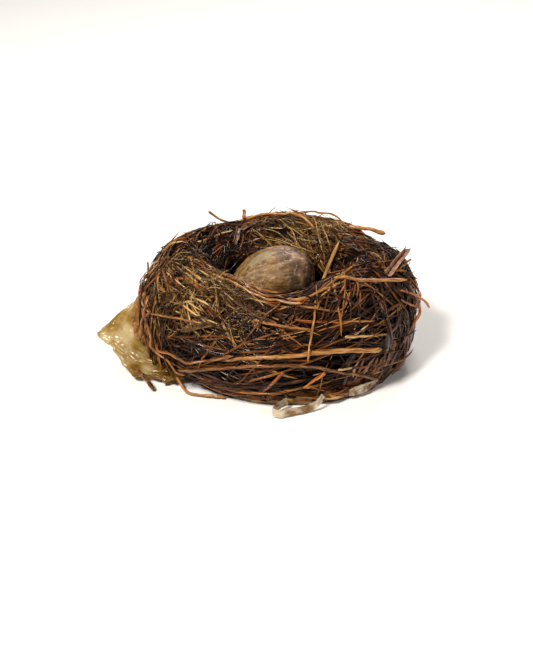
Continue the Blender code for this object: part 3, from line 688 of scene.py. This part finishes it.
def nut_skin():
    # Nut skin: woody, dull and stained, tan-olive at its point and dark brown at its blunt end. A grey
    # patch on its top is partly bleached skin and partly painted highlight, and the pale scuffs at its
    # blunt end are partly wear and partly painted highlights.
    made, tree, shader = new_material("nut_skin")
    along = attribute(tree, "along")
    on_seam = attribute(tree, "ridge")
    place = object_place(tree)
    turned = add_node(tree, "ShaderNodeMapping", {"vector_type": "POINT"}, Vector=place,
                      Rotation=(0.0, 0.0, -NUT_HEADING)).outputs[0]
    fibrous = noise(tree, stretch(tree, turned, (110.0, 760.0, 760.0)), 1.0, 5.0, Roughness=0.65)
    stains = noise(tree, place, 95.0, 5.0, Roughness=0.6)
    scuff_highlight_noise = noise(tree, place, 330.0, 4.0, Distortion=1.2)
    point_end = colour_ramp(tree, fibrous, (0.32, "#33200d"), (0.5, "#785428"), (0.68, "#ab874c"))
    blunt_end = colour_ramp(tree, stains, (0.34, "#160d07"), (0.48, "#583c29"), (0.62, "#a98566"))
    # The two ends' colours meet in a wandering line near the middle.
    shifted = maths(tree, "ADD", along, maths(tree, "MULTIPLY_ADD", stains, 0.9, -0.45))
    half_way = ranged(tree, shifted, -0.25, 0.45, kind="SMOOTHSTEP")
    skin = over(tree, half_way, point_end, blunt_end)
    # The grey patch on top: partly bleached skin, partly painted highlight.
    ragged = maths(tree, "MULTIPLY_ADD", fibrous, 0.8, attribute(tree, "bleach_and_highlight"))
    pale = over(tree, ranged(tree, ragged, 0.95, 1.08, 0.0, 0.75), skin, linear("#8c8263"))
    # Pale scuffs over the blunt end: partly wear, partly painted highlights.
    scuff_highlight_mask = ranged(tree, scuff_highlight_noise, 0.56, 0.68)
    some = maths(tree, "MULTIPLY", scuff_highlight_mask, ranged(tree, half_way, 0.0, 1.0, 0.15, 0.75))
    worn_and_highlit = over(tree, some, pale, linear("#c4ab96"))
    colour = over(tree, on_seam, worn_and_highlit, linear("#8c6c42"))
    height = maths(tree, "ADD", fibrous, scuff_highlight_noise)
    rough = ranged(tree, scuff_highlight_noise, 0.0, 1.0, 0.62, 0.26)
    connect(tree, shader, Base_Color=colour, Roughness=rough, Normal=relief(tree, height, 0.9, 0.5 * MM))
    return made


def make_nut():
    """A globe drawn out to a point at one end and flattened a little, with ridges for its seams."""
    bpy.ops.mesh.primitive_uv_sphere_add(segments=112, ring_count=72, radius=1)
    piece = bpy.context.object
    piece.name = piece.data.name = "nut_body"
    along_axis = Vector((math.cos(NUT_HEADING), math.sin(NUT_HEADING), 0.06)).normalized()
    sideways = Vector((0, 0, 1)).cross(along_axis).normalized()
    upwards = along_axis.cross(sideways)
    ball = np.array([vertex.co for vertex in piece.data.vertices])
    place = ball[:, 2]
    turn = np.arctan2(ball[:, 1], ball[:, 0])
    # Across the axis: full in the middle, leaner towards the point.
    lean = 1 + 0.10 * place - 0.28 * np.maximum(0, -place) ** 2.5
    # Two seams and a crease between them, each a low sharp ridge with a groove beside it.
    ridge = np.zeros_like(turn)
    groove = np.zeros_like(turn)
    for seam_turn, swing in ((SEAM_TURN, 0.35), (SEAM_TURN + math.pi, -0.3), (CREASE_TURN, -0.25)):
        away = (turn - seam_turn - swing * place + math.pi) % (2 * math.pi) - math.pi
        ridge += np.exp(-((away / 0.055) ** 2))
        groove += np.exp(-(((away + 0.14) / 0.07) ** 2))
    across = np.sin(np.arccos(np.clip(place, -1, 1)))
    radius = lean * (1 + (0.03 * ridge - 0.022 * groove) * across)
    bulge = 0.012 * np.sin(5 * turn + 3 * place) + 0.008 * np.sin(9 * turn - 7 * place + 1)
    radius = radius * (1 + bulge * across)
    stretched = place * NUT_HALF_LENGTH * np.where(place < -0.9, 1 + 0.35 * (-0.9 - place), 1)
    points = (
        np.array(NUT_CENTRE)
        + stretched[:, None] * np.array(along_axis)
        + (ball[:, 0] * radius * NUT_HALF_WIDTH)[:, None] * np.array(sideways)
        + (ball[:, 1] * radius * NUT_HALF_HEIGHT)[:, None] * np.array(upwards)
    )
    piece.data.vertices.foreach_set("co", points.ravel())
    # A grey patch on the nut's top, partly bleached skin and partly painted highlight.
    bleach_and_highlight = np.exp(-(((place + 0.32) / 0.42) ** 2)) * np.exp(-(((turn - 1.72) / 0.34) ** 2))
    marks = {"along": place, "ridge": np.clip(ridge, 0, 1) * 0.4 * across, "bleach_and_highlight": bleach_and_highlight}
    for name, values in marks.items():
        piece.data.attributes.new(name, "FLOAT", "POINT").data.foreach_set("value", values)
    pits = piece.modifiers.new("pits", "DISPLACE")
    pits.texture = bpy.data.textures.new("nut_pits", "CLOUDS")
    pits.texture.noise_scale = 2.2 * MM
    pits.texture.noise_depth = 3
    pits.texture_coords = "LOCAL"
    pits.strength = 0.8 * MM
    apply_modifiers(piece)
    select_only(piece)
    bpy.ops.object.mode_set(mode="EDIT")
    bpy.ops.mesh.select_all(action="SELECT")
    bpy.ops.mesh.normals_make_consistent(inside=False)
    bpy.ops.object.mode_set(mode="OBJECT")
    piece.data.shade_smooth()
    piece.data.materials.append(nut_skin())
    hand_over(piece, "nut_shell", "nut")


make_nut()


# ---- the moss pad ----
# Olive hair-fine rootlets and dry moss, caught in the ring at the left of the front. The hairs curl
# every way and stand a few millimetres out.

moss_hair = plant_fibre(
    "moss_hair",
    ((0.0, "#0c0602"), (0.35, "#33200c"), (0.62, "#64441f"), (0.82, "#8b6836"), (1.0, "#c9a66c")),
    roughness=0.42,
    shine=0.5,
    coat_ior=1.4,
)


def tangle(count, arounds, turns, radius, length, height, shade, steps, wander):
    """Fibres that run every way over an oval patch of the ring, and stand out most in its middle."""
    across = draw.uniform(-1, 1, count)
    up = draw.uniform(-1, 1, count) * np.sqrt(1 - across**2 * 0.7)
    around = (arounds[0] + arounds[1]) / 2 + across * (arounds[1] - arounds[0]) / 2
    turn = (turns[0] + turns[1]) / 2 + up * (turns[1] - turns[0]) / 2
    headings = draw.uniform(0, 360, count)
    lengths = draw.uniform(*length, count) * MM
    path = walk(around, turn, headings, lengths, steps, wander, (turns[0] - 20, turns[1] + 20))
    dome = np.clip(1 - across**2, 0, 1) * np.clip(1 - up**2, 0, 1)
    top = (0.6 * MM + height * MM * np.sqrt(dome))[:, None]
    share = draw.uniform(-0.5, 1, (count, 1))
    along = np.linspace(0, 1, steps)
    pace, start = draw.uniform(0.5, 1.6, (count, 1)), draw.uniform(0, 1, (count, 1))
    curl = 0.4 * MM * np.sin(2 * math.pi * (along * pace + start))
    middles, normals = ring_surface(*path, share * top + curl)
    middles = straightened(middles, draw.uniform(0, 0.7, count), 3 * MM)
    # Painted shade: hairs that lie low in the tangle are darkened, and those that stand out most lightened.
    return fibres(middles, normals, draw.uniform(*radius, count) * MM, 1.2, shade, 3,
                  darken=0.3 * share[:, 0] - 0.15)


fibre_piece("moss_hairs", moss_hair, "moss", [
    tangle(1700, (190, 256), (0, 94), (0.1, 0.2), (4, 11), 3.2, (0.1, 1.0), 7, 17),
    tangle(150, (188, 258), (-10, 84), (0.2, 0.42), (8, 24), 3.2, (0.0, 0.75), 8, 8),
    # Split stalks lie over it, slanting down to the right.
    wind(66, (203, 246), (20, 78), (-16, 12), (0.25, 0.5), (12, 28), (2.0, 4.0), (0.4, 0.95), 10, 5,
         bundle=6, ends=(-3.5, 0.5)),
], "moss_pad")


# ---- the golden grass ----
# Blades of fine dry grass, drawn over the rim at the back right and down into the cup.

grass_blade = plant_fibre(
    "dry_grass_blade",
    ((0.0, "#241406"), (0.4, "#553814"), (0.75, "#8b6628"), (1.0, "#c9a55c")),
    roughness=0.32,
    shine=0.8,
    coat_ior=1.4,
)
fibre_piece("grass_blades", grass_blade, "dry_grass", [
    wind(200, (42, 96), (98, 148), (-22, 12), (0.1, 0.22), (16, 40), (0.6, 2.4), (0.05, 0.95), 11, 4,
         stiff=(0, 0.3), ends=(-2.5, 1), bundle=8),
    wind(80, (46, 92), (84, 118), (-10, 16), (0.12, 0.22), (14, 34), (0.8, 2.6), (0.1, 0.95), 11, 4,
         ends=(-2.5, 1.5)),
], "grass_tuft")


# ---- loose fibres of the pad ----
# Flattened roots and shreds of leaf that hang out of the pad's rim, pressed down by the ring.

PAD_CENTRE = np.array((9 * MM, -2 * MM, 0))
PAD_FOOT_RADIUS = 55 * MM
PAD_HEIGHT = 9.7 * MM


def pad_surface(around, height, stand_off):
    """Points of the pad's rim, which widens and wanders a little as it rises, and the ways out of it."""
    angle = np.radians(around)
    rise = np.clip(height / PAD_HEIGHT, 0, 1)
    radius = PAD_FOOT_RADIUS + 6 * MM * rise**0.6 - 2.5 * MM * rise**3
    radius = radius + 0.9 * MM * np.sin(5 * angle + 0.4) + 0.6 * MM * np.sin(11 * angle + 2) + stand_off
    outwards = np.stack((np.cos(angle), np.sin(angle), 0 * angle), -1)
    points = PAD_CENTRE + outwards * radius[..., None]
    points[..., 0] -= 3 * MM * rise
    points[..., 2] = height
    return points, outwards


def press(count, radius, length, stand_offs, flatness, shade, steps, arounds=ALL_ROUND):
    """Fibres pressed round the pad's rim, with their sizes and stand-offs in metres."""
    around = draw.uniform(*arounds, (count, 1))
    reach = np.degrees(draw.uniform(*length, (count, 1)) / PAD_FOOT_RADIUS)
    along = np.linspace(-0.5, 0.5, steps)
    height = draw.uniform(0.8 * MM, 10.5 * MM, (count, 1)) + draw.uniform(-5 * MM, 5 * MM, (count, 1)) * along
    stand_off = draw.uniform(*stand_offs, (count, 1)) - 3 * MM * (2 * np.abs(along)) ** 4
    height = np.clip(height, 0.6 * MM, 11 * MM) + 0 * along
    points, outwards = pad_surface(around + reach * along, height, stand_off + 0 * height)
    return fibres(points, outwards, draw.uniform(*radius, count), draw.uniform(*flatness, count), shade, 4,
                  0.2 * MM)


fibre_piece("pad_fibres", rootlet_skin, "rootlets", [
    press(520, (0.2 * MM, 0.5 * MM), (12 * MM, 40 * MM), (-1.5 * MM, 1.6 * MM), (1, 2.5), (0.2, 0.9), 9),
    press(240, (0.6 * MM, 1.1 * MM), (10 * MM, 30 * MM), (-1 * MM, 1.2 * MM), (5, 14), (0.35, 0.8), 9),
    # Pale flattened blades show at the front.
    press(60, (0.6 * MM, 1.1 * MM), (12 * MM, 32 * MM), (0.6 * MM, 2 * MM), (5, 12), (0.6, 0.92), 9,
              (236, 288)),
])


# ---- coarse stems, roots and twigs ----
# Single woody stems and thick roots that were pushed into the ring last. Each keeps the bends and
# the length of its CAD strand and gains bark, knots, a wandering thickness and broken ends.


def strand_sections(node):
    """The six-cornered sections of a CAD strand from end to end, as an array (sections, 6, 3)."""
    shape = bmesh.new()
    shape.from_mesh(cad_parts[node].data)
    bmesh.ops.remove_doubles(shape, verts=shape.verts, dist=0.001 * MM)
    for face in shape.faces:
        cap = {face}
        growing = [face]
        while growing:
            here = growing.pop()
            for edge in here.edges:
                for beside in edge.link_faces:
                    if beside not in cap and beside.normal.dot(face.normal) > 0.9999:
                        cap.add(beside)
                        growing.append(beside)
        section = {vertex for part in cap for vertex in part.verts}
        if len(cap) != 4 or len(section) != 6:
            continue
        found, seen = [section], set(section)
        while True:
            following = {edge.other_vert(vertex) for vertex in found[-1] for edge in vertex.link_edges} - seen
            if not following:
                break
            found.append(following)
            seen |= following
        if all(len(part) == 6 for part in found) and len(seen) == len(shape.verts):
            # Each section's corners are told apart by their places, so the order is the same each run.
            sections = np.array([sorted(tuple(vertex.co) for vertex in part) for part in found])
            shape.free()
            return sections
    raise ValueError(f"{node} has no six-cornered end")


def smooth_through(keys, count):
    """Evenly stepped values on the smooth curve through the rows of keys."""
    place = np.linspace(0, len(keys) - 1, count)
    start = np.minimum(place.astype(int), len(keys) - 2)
    part = (place - start)[:, None]
    padded = np.concatenate((2 * keys[:1] - keys[1:2], keys, 2 * keys[-1:] - keys[-2:-1]))
    p0, p1, p2, p3 = (padded[start + shift] for shift in range(4))
    bend = (2 * p0 - 5 * p1 + 4 * p2 - p3) * part**2 + (3 * p1 - 3 * p2 + p3 - p0) * part**3
    return 0.5 * (2 * p1 + (p2 - p0) * part + bend)


def strand_line(node, count):
    """Along a CAD strand: its middles, the ways out of the nest, half widths and half thicknesses."""
    sections = strand_sections(node)
    middles = sections.mean(1)
    tangents = np.gradient(middles, axis=0)
    tangents /= np.linalg.norm(tangents, axis=1, keepdims=True)
    ups, widths, thicknesses = [], [], []
    for middle, corners, tangent in zip(middles, sections, tangents):
        spokes = corners - middle
        _, _, axes = np.linalg.svd(spokes)
        across = axes[0]
        up = np.cross(across, tangent)
        up /= np.linalg.norm(up)
        angle = math.atan2(middle[1], middle[0] - RING_CENTRE_X)
        wall_x = RING_CENTRE_X + RING_HALF_LENGTH * math.cos(angle)
        wall = np.array((wall_x, RING_HALF_WIDTH * math.sin(angle), WALL_MIDDLE_HEIGHT))
        up *= 1 if up @ (middle - wall) >= 0 else -1
        ups.append(up)
        widths.append(np.abs(spokes @ across).max())
        thicknesses.append(np.abs(spokes @ up).max())
    measures = smooth_through(np.column_stack((widths, thicknesses)), count)
    ups = smooth_through(np.array(ups), count)
    return smooth_through(middles, count), ups, measures[:, 0], measures[:, 1]


def bark_skin(name, dark, middle, light, roughness=0.42):
    """Thin bark or straw skin, streaked along the stem."""
    stops = ((0.1, dark), (0.5, middle), (0.9, light))
    return plant_fibre(name, stops, roughness, streak=1.9, shine=0.7, coat_ior=1.4, cells=(0.13, 1.2))


# Bark of old stems is nearly black in its creases, young wood is tan, and straw has a glassy skin.
stem_skins = {
    "dark_stem": bark_skin("dark_bark", "#150903", "#572f12", "#a26c36"),
    "tan_stem": bark_skin("tan_bark", "#241004", "#73441b", "#bd874a"),
    "red_stem": bark_skin("red_bark", "#260d03", "#70360f", "#bb6d28"),
    "straw": bark_skin("straw_skin", "#3f250c", "#8a5e2b", "#d0a870", 0.3),
}

STEMS = {
    "dark_stem": (
        "back_stem_high front_stem_low front_stem_left rim_root_left_b root_kinked root_left_b root_left_c "
        "root_left_d root_loop_back root_loop_ground side_stem_left stem_diagonal stem_mid_left "
        "stub_low_left twig_back_left twig_right_short twig_right_up"
    ),
    "tan_stem": (
        "back_stem_low front_stem_long rim_root_left_a rim_root_left_c rim_root_right rim_stem_back "
        "rim_stem_back_left root_left_a root_upright_front stub_back_right twig_over_right"
    ),
    "red_stem": (
        "red_stem_left red_stem_right rim_stem_back_right side_stem_right stem_mid_right stub_top "
        "twig_right_long"
    ),
    "straw": "straw_flat_right straw_low_right straw_right twig_in_cup",
}


STEM_SIDES = 10
STEM_SHARE = 0.8  # of its CAD strand's radius, because bark and furrows stand out from it
KNOT_SPACING = 14 * MM
KNOT_LENGTH = 1.1 * MM
BEND_SPACING = 7 * MM


def make_stem(node, slot):
    """One stem: a round strand with knots, shallow grooves along it and a slightly wandering line."""
    steps = max(18, len(strand_sections(node)) * 6)
    middles, ups, widths, thicknesses = strand_line(node, steps)
    # Two have sunk with the rim: one is drawn down to the windings it stands in, one lies lower.
    if node == "stub_top":
        middles[:, 2] = middles[:, 2].max() - 2.4 * (middles[:, 2].max() - middles[:, 2])
    if node == "twig_over_right":
        middles[:, 2] -= 1.7 * MM
    radius = np.minimum(widths, thicknesses) * STEM_SHARE
    flatness = np.median(widths / thicknesses)
    along = np.linspace(0, 1, steps)
    length = np.linalg.norm(np.diff(middles, axis=0), axis=1).sum()
    for _ in range(max(1, round(length / KNOT_SPACING))):
        knot, swelling = draw.uniform(0.08, 0.92), draw.uniform(0.05, 0.22)
        radius = radius * (1 + swelling * np.exp(-(((along - knot) * length / KNOT_LENGTH) ** 2)))
    radius = radius * (1 + 0.05 * np.sin(2 * math.pi * (along * length / (9 * MM) + draw.uniform())))
    tangents = np.gradient(middles, axis=0)
    across = np.cross(tangents, ups)
    across /= np.linalg.norm(across, axis=1, keepdims=True)
    # Stems bend in short straight runs, with a slight angle wherever a leaf or a side root grew.
    bends = np.linspace(0, 1, max(3, round(length / BEND_SPACING)))
    for way, amount in ((across, 0.22 * MM), (ups, 0.1 * MM)):
        middles = middles + way * np.interp(along, bends, draw.normal(0, amount, len(bends)))[:, None]
    middles[:, 2] = np.maximum(middles[:, 2], radius + FLOOR_CLEARANCE)
    radius[0] = radius[-1] = 0.05 * MM
    radius[1] *= 0.7
    radius[-2] *= 0.7
    batch = {
        "middles": middles[None],
        "normals": ups[None],
        "half_widths": (radius * math.sqrt(flatness))[None],
        "half_thicknesses": (radius / math.sqrt(flatness))[None],
        "shades": draw.uniform(0.5, 0.85, 1) + (0.3 if node == "root_loop_ground" else 0),
        "offsets": draw.uniform(0, 400, (1, 2)),
        "sides": STEM_SIDES,
    }
    piece = fibre_piece(f"{node}_bark", stem_skins[slot], slot, [batch], node)
    furrows = piece.modifiers.new("furrows", "DISPLACE")
    furrows.texture = bpy.data.textures.new(f"{node}_furrows", "CLOUDS")
    furrows.texture.noise_scale = 1.4 * MM
    furrows.texture_coords = "LOCAL"
    furrows.strength = 0.3 * MM
    apply_modifiers(piece)


for slot, nodes in STEMS.items():
    for node in nodes.split():
        make_stem(node, slot)


# ---- dry leaves and strips of bark ----
# Whole leaves and torn bark, pressed into the ring while damp and dried there, so they are creased
# and curled at their edges.


def thin_sheet(name, points, thickness, flat=None):
    """A grid of points (rows, columns, 3) as a sheet with a thickness; flat is its map, in mm."""
    rows, columns, _ = points.shape
    index = np.arange(rows * columns).reshape(rows, columns)
    corners = (index[:-1, :-1], index[1:, :-1], index[1:, 1:], index[:-1, 1:])
    faces = np.stack(corners, -1).reshape(-1, 4)
    mesh = bpy.data.meshes.new(name)
    mesh.from_pydata(points.reshape(-1, 3).tolist(), [], faces.tolist())
    if flat is not None:
        layer = mesh.uv_layers.new(name="Grain")
        layer.data.foreach_set("uv", flat.reshape(-1, 2)[faces.ravel()].ravel())
    mesh.shade_smooth()
    piece = bpy.data.objects.new(name, mesh)
    bpy.context.scene.collection.objects.link(piece)
    thicken = piece.modifiers.new("thickness", "SOLIDIFY")
    thicken.thickness = thickness
    thicken.offset = 0
    apply_modifiers(piece)
    return piece


def blade_mesh(name, middles, across, ups, half_widths, columns, crumple, curl, thickness):
    """A thin sheet along a line: creased by three waves, its edges curled out, given a thickness."""
    steps = len(middles)
    side = np.linspace(-1, 1, columns)[None, :]
    along = np.linspace(0, 1, steps)[:, None]
    length = np.linalg.norm(np.diff(middles, axis=0), axis=1).sum()
    run, reach = along * length, side * half_widths[:, None]
    lift = curl * np.abs(side) ** 2.5 - 0.6 * curl * np.exp(-((side / 0.12) ** 2))
    for turn, wave_length, share in ((0.4, 7 * MM, 0.5), (1.3, 4.3 * MM, 0.35), (-0.7, 3.1 * MM, 0.3)):
        phase = 2 * math.pi * (run * math.cos(turn) + reach * math.sin(turn)) / wave_length + 3 * turn
        lift = lift + crumple * share * (np.abs(np.sin(phase)) * 2 - 1)
    points = middles[:, None] + across[:, None] * reach[..., None] + ups[:, None] * lift[..., None]
    # No part of it dips into the surface that the nest stands on.
    points[..., 2] = np.maximum(points[..., 2], 0.6 * MM)
    flat = np.stack((run + 0 * reach, reach), -1) / MM
    return thin_sheet(name, points, thickness, flat)


def dry_leaf(name, dark, middle, light, vein_every=2.5):
    # A dry leaf: brown and papery, veined, with a faint waxy shine on what is left of its skin.
    made, tree, shader = new_material(name)
    grain = grain_place(tree)
    streaks = noise(tree, stretch(tree, grain, (0.12, 1.6, 1.0)), 1.0, 4.0)
    blotches = noise(tree, grain, 0.35, 3.0)
    parts = add_node(tree, "ShaderNodeSeparateXYZ", Vector=grain)
    # Side veins leave the midrib at a slant, one each vein_every millimetres.
    slanted = maths(tree, "SUBTRACT", parts.outputs[0], maths(tree, "ABSOLUTE", parts.outputs[1]))
    vein = ranged(tree, maths(tree, "PINGPONG", slanted, vein_every), 0.0, 0.3, 1.0, 0.0)
    cloudy = maths(tree, "MULTIPLY", maths(tree, "ADD", streaks, blotches), 0.5)
    height = maths(tree, "MULTIPLY_ADD", vein, 0.1, cloudy)
    colour = colour_ramp(tree, height, (0.36, dark), (0.52, middle), (0.68, light))
    connect(tree, shader, Base_Color=colour, Roughness=0.45, Normal=relief(tree, height, 0.6, 0.25 * MM))
    return made


leaf_skins = {
    "brown": dry_leaf("brown_dry_leaf", "#1a0d05", "#4a2c13", "#7f552b"),
    "gold": dry_leaf("golden_dry_leaf", "#2b1b08", "#5c3f16", "#8f6c2e"),
    "tan": dry_leaf("tan_dry_leaf", "#3a2009", "#93602b", "#c59660"),
    "russet": dry_leaf("russet_dry_leaf", "#2a1206", "#7a4216", "#b67430"),
    # Torn bark is fibrous and has no veins, so they are set wider apart than a strip is long.
    "pale_bark": dry_leaf("weathered_bark", "#573627", "#966c50", "#c9a486", 60.0),
    "bark": dry_leaf("torn_bark", "#2c170d", "#694530", "#ab8468", 60.0),
}
LEAVES = {
    # node: (skin, crumple, curl, share of the CAD blade's width, how far the windings bury it)
    "leaf_left": ("tan", 0.22 * MM, 1.8 * MM, 1.1, -1.5 * MM),
    "leaf_gold": ("gold", 1.0 * MM, 1.4 * MM, 0.5, 1.8 * MM),
    "leaf_low": ("brown", 0.7 * MM, 1.2 * MM, 0.6, 1.2 * MM),
    "leaf_right": ("russet", 0.8 * MM, 1.6 * MM, 0.8, 0.6 * MM),
    "leaf_back": ("brown", 0.8 * MM, 1.4 * MM, 0.9, 0.4 * MM),
    "leaf_back_low": ("russet", 0.8 * MM, 1.2 * MM, 0.8, 0.8 * MM),
    "bark_inside_left": ("bark", 0.4 * MM, 0.9 * MM, 0.6, 0.3 * MM),
    "bark_inside_back": ("bark", 0.4 * MM, 0.9 * MM, 0.6, 0.3 * MM),
    "bark_right": ("pale_bark", 0.3 * MM, 2.0 * MM, 0.95, 0.0),
}


def blade_frame(node, steps):
    """A CAD blade's line of middles, the ways across it and out of it, and its half widths."""
    middles, ups, widths, _ = strand_line(node, steps)
    across = np.cross(np.gradient(middles, axis=0), ups)
    across /= np.linalg.norm(across, axis=1, keepdims=True)
    return middles, across, ups, widths * 1.12


TWISTED = {"leaf_left": math.radians(55)}  # this one stands off the ring with its face to the front

for node, (skin, crumple, curl, width_share, buried) in LEAVES.items():
    middles, across, ups, widths = blade_frame(node, 44)
    middles, widths = middles - buried * ups, widths * width_share
    twist = TWISTED.get(node, 0)
    turned = across * math.cos(twist) + ups * math.sin(twist)
    across, ups = turned, ups * math.cos(twist) - across * math.sin(twist)
    leaf = blade_mesh(f"{node}_blade", middles, across, ups, widths, 17, crumple, curl, 0.3 * MM)
    leaf.data.materials.append(leaf_skins[skin])
    hand_over(leaf, "bark" if "bark" in skin else "dry_leaf", node)


# ---- scraps of plastic film ----
# Thin clear film, yellowed and crumpled, which the bird took for dry skin or leaf. The biggest flap
# sticks out at the left, and smaller bands lie at the foot of the nest.

FILM_THICKNESS = 0.22 * MM  # drawn thicker than real film, so that its edges show
FILM_STEPS = 70


def plastic_film(name, tint, roughness, stained_from=(1, 2)):
    # Polythene film: colourless when new, here stained with earth, so it is milky amber with
    # bright glints on its folds. Stains deepen between two places along X, by default far away.
    made, tree, shader = new_material(name)
    place = object_place(tree)
    stains = noise(tree, place, 90.0, 4.0)
    folds = noise(tree, place, 110.0, 1.5, Distortion=1.5)
    place_x = add_node(tree, "ShaderNodeSeparateXYZ", Vector=place).outputs[0]
    clean = maths(tree, "SUBTRACT", stains, ranged(tree, place_x, *stained_from, 0.0, 0.2))
    colour = colour_ramp(tree, clean, (0.2, "#7a5018"), (0.4, tint[0]), (0.56, tint[1]))
    connect(tree, shader, Base_Color=colour, Roughness=roughness, Normal=relief(tree, folds, 0.5, 1 * MM))
    connect(tree, shader, Transmission_Weight=0.5, IOR=1.49)
    return made


milky_film = plastic_film("stained_polythene", ("#b08c42", "#d2bd8e"), 0.2, (-82 * MM, -60 * MM))
clear_film = plastic_film("clear_polythene", ("#947040", "#efe0c2"), 0.14)
olive_film = plastic_film("earthy_polythene", ("#6b4a1c", "#c4a566"), 0.18)

FILM_BANDS = {
    # node: (film, crumple, how far each end narrows, how the film is held, what it rests on)
    "film_band": (olive_film, 0.35 * MM, (0.7, 0.8), "laid", "leaf_pad"),
    "film_front": (clear_film, 0.3 * MM, (0.2, 0.3), "folded", "leaf_pad"),
    "film_right": (clear_film, 0.35 * MM, (0.5, 0.95), "laid", "leaf_pad"),
    "film_wrap": (olive_film, 0.5 * MM, (0.5, 0.5), "laid", "wall_felt"),
}
for node, (film, crumple, narrowing, held, rests_on) in FILM_BANDS.items():
    middles, across, ups, widths = blade_frame(node, FILM_STEPS)
    from_start = np.linspace(0, 1, FILM_STEPS)
    widths = widths * (1 - narrowing[0] * (1 - from_start) ** 2) * (1 - narrowing[1] * from_start**2)
    band = blade_mesh(f"{node}_sheet", middles, across, ups, widths, 15, crumple, 0.4 * MM, FILM_THICKNESS)
    band.data.materials.append(film)
    hand_over(band, "plastic_film", node)


FLAP_NICKS = 34


def make_flap():
    """The big flap: between the line where the ring holds it and its free edge, billowed and creased."""
    on_ring = np.array(((178, -2, 2), (181, -16, 2), (186, -30, 2), (194, -44, 3)), float)
    held_at = ring_surface(on_ring[:, 0], on_ring[:, 1], on_ring[:, 2] * MM)[0]
    foot, _ = pad_surface(np.array((207.0, 215.0)), np.array((7.0, 4.5)) * MM, np.array((2.2, 2.2)) * MM)
    rows, columns = 110, 56
    inner = smooth_through(np.concatenate((held_at, foot)), rows)
    free_edge = (
        (-75.5, 1, 31), (-85, -3, 25), (-93.5, -7, 18.5), (-97, -9, 14.5), (-92, -12, 12),
        (-87, -17, 8.5), (-82, -25, 4.4), (-75, -34, 2.4), (-67, -36, 4), (-60, -41, 2.6),
    )
    outer = smooth_through(np.array(free_edge) * MM, rows)
    part = np.linspace(0, 1, columns)[None, :]
    down = np.linspace(0, 1, rows)[:, None]
    points = inner[:, None] * (1 - part[..., None]) + outer[:, None] * part[..., None]
    facing = np.array((-0.35, -0.8, 0.45)) / np.linalg.norm((-0.35, -0.8, 0.45))
    billow = np.sin(math.pi * part) * (1.5 + 1.3 * np.sin(down * 12.6 + part * 2.2)) * MM
    # Creases deepen towards the lower half, where the film is bunched up.
    bunched = 0.25 + 0.75 * np.clip(down * 2 - 0.6, 0, 1)
    for along_turns, across_turns, share in ((5, 1.5, 1.3), (8, -3, 0.7), (3, 3.5, 1.0), (13, 2, 0.15)):
        phase = 2 * math.pi * (down * along_turns + part * across_turns) + along_turns
        billow = billow + bunched * share * MM * (np.abs(np.sin(phase / 2)) * 2 - 1) * (0.3 + 0.7 * part)
    points = points + facing * billow[..., None]
    # Its free edge is torn in small nicks.
    nicks = draw.normal(0, 0.45 * MM, (FLAP_NICKS, 3))
    nick_at, edge_at = np.arange(FLAP_NICKS), np.linspace(0, FLAP_NICKS - 1, rows)
    torn = np.stack([np.interp(edge_at, nick_at, nicks[:, axis]) for axis in range(3)], -1)
    points = points + torn[:, None] * part[..., None] ** 9
    points[..., 2] = np.maximum(points[..., 2], 0.5 * MM)
    # The grid is turned round, so that the sheet's rows step out from the ring to the free edge.
    flap = thin_sheet("film_flap", points.swapaxes(0, 1), FILM_THICKNESS)
    flap.data.materials.append(milky_film)
    hand_over(flap, "plastic_film", "film_left")


make_flap()


# ---- the studio ----
# A pale floor and a pale surround, a broad soft lamp high at the front left, and two weaker ones.

FLOOR_SIZE = 6.0
bpy.ops.mesh.primitive_plane_add(size=FLOOR_SIZE)
studio_floor = bpy.context.object
studio_floor.name = "studio_floor"
floor_paint, floor_tree, floor_shader = new_material("matt_white_paint")
floor_shader.inputs["Base Color"].default_value = linear("#fbfaf9")
floor_shader.inputs["Roughness"].default_value = 0.9
studio_floor.data.materials.append(floor_paint)

AIM = Vector((-5.2, 0, 11.1)) * MM


def add_lamp(name, place, size, power):
    lamp = bpy.data.lights.new(name, "AREA")
    lamp.size = size
    lamp.energy = power
    lamp.color = linear("#fffaf3")[:3]
    holder = bpy.data.objects.new(name, lamp)
    holder.location = place
    holder.rotation_euler = (AIM - Vector(place)).to_track_quat("-Z", "Y").to_euler()
    bpy.context.scene.collection.objects.link(holder)


add_lamp("lamp_front_left", (-0.5, -0.7, 1.0), 0.3, 21)
add_lamp("lamp_right", (0.9, -0.45, 0.6), 0.3, 2.5)
add_lamp("lamp_above_back", (0.2, 0.7, 0.9), 0.4, 8)

surround = bpy.data.worlds.new("pale_surround")
surround.use_nodes = True
surround.node_tree.nodes["Background"].inputs["Color"].default_value = linear("#ffffff")
surround.node_tree.nodes["Background"].inputs["Strength"].default_value = 0.11
bpy.context.scene.world = surround
bpy.context.scene.view_settings.view_transform = "Standard"

camera = bpy.data.objects.new("camera", bpy.data.cameras.new("camera"))
camera.data.lens = 78.7
camera.data.sensor_width = 36
camera.location = Vector((-5.2, -712.8, 374.3)) * MM
camera.rotation_euler = (AIM - camera.location).to_track_quat("-Z", "Y").to_euler()
bpy.context.scene.collection.objects.link(camera)
bpy.context.scene.camera = camera
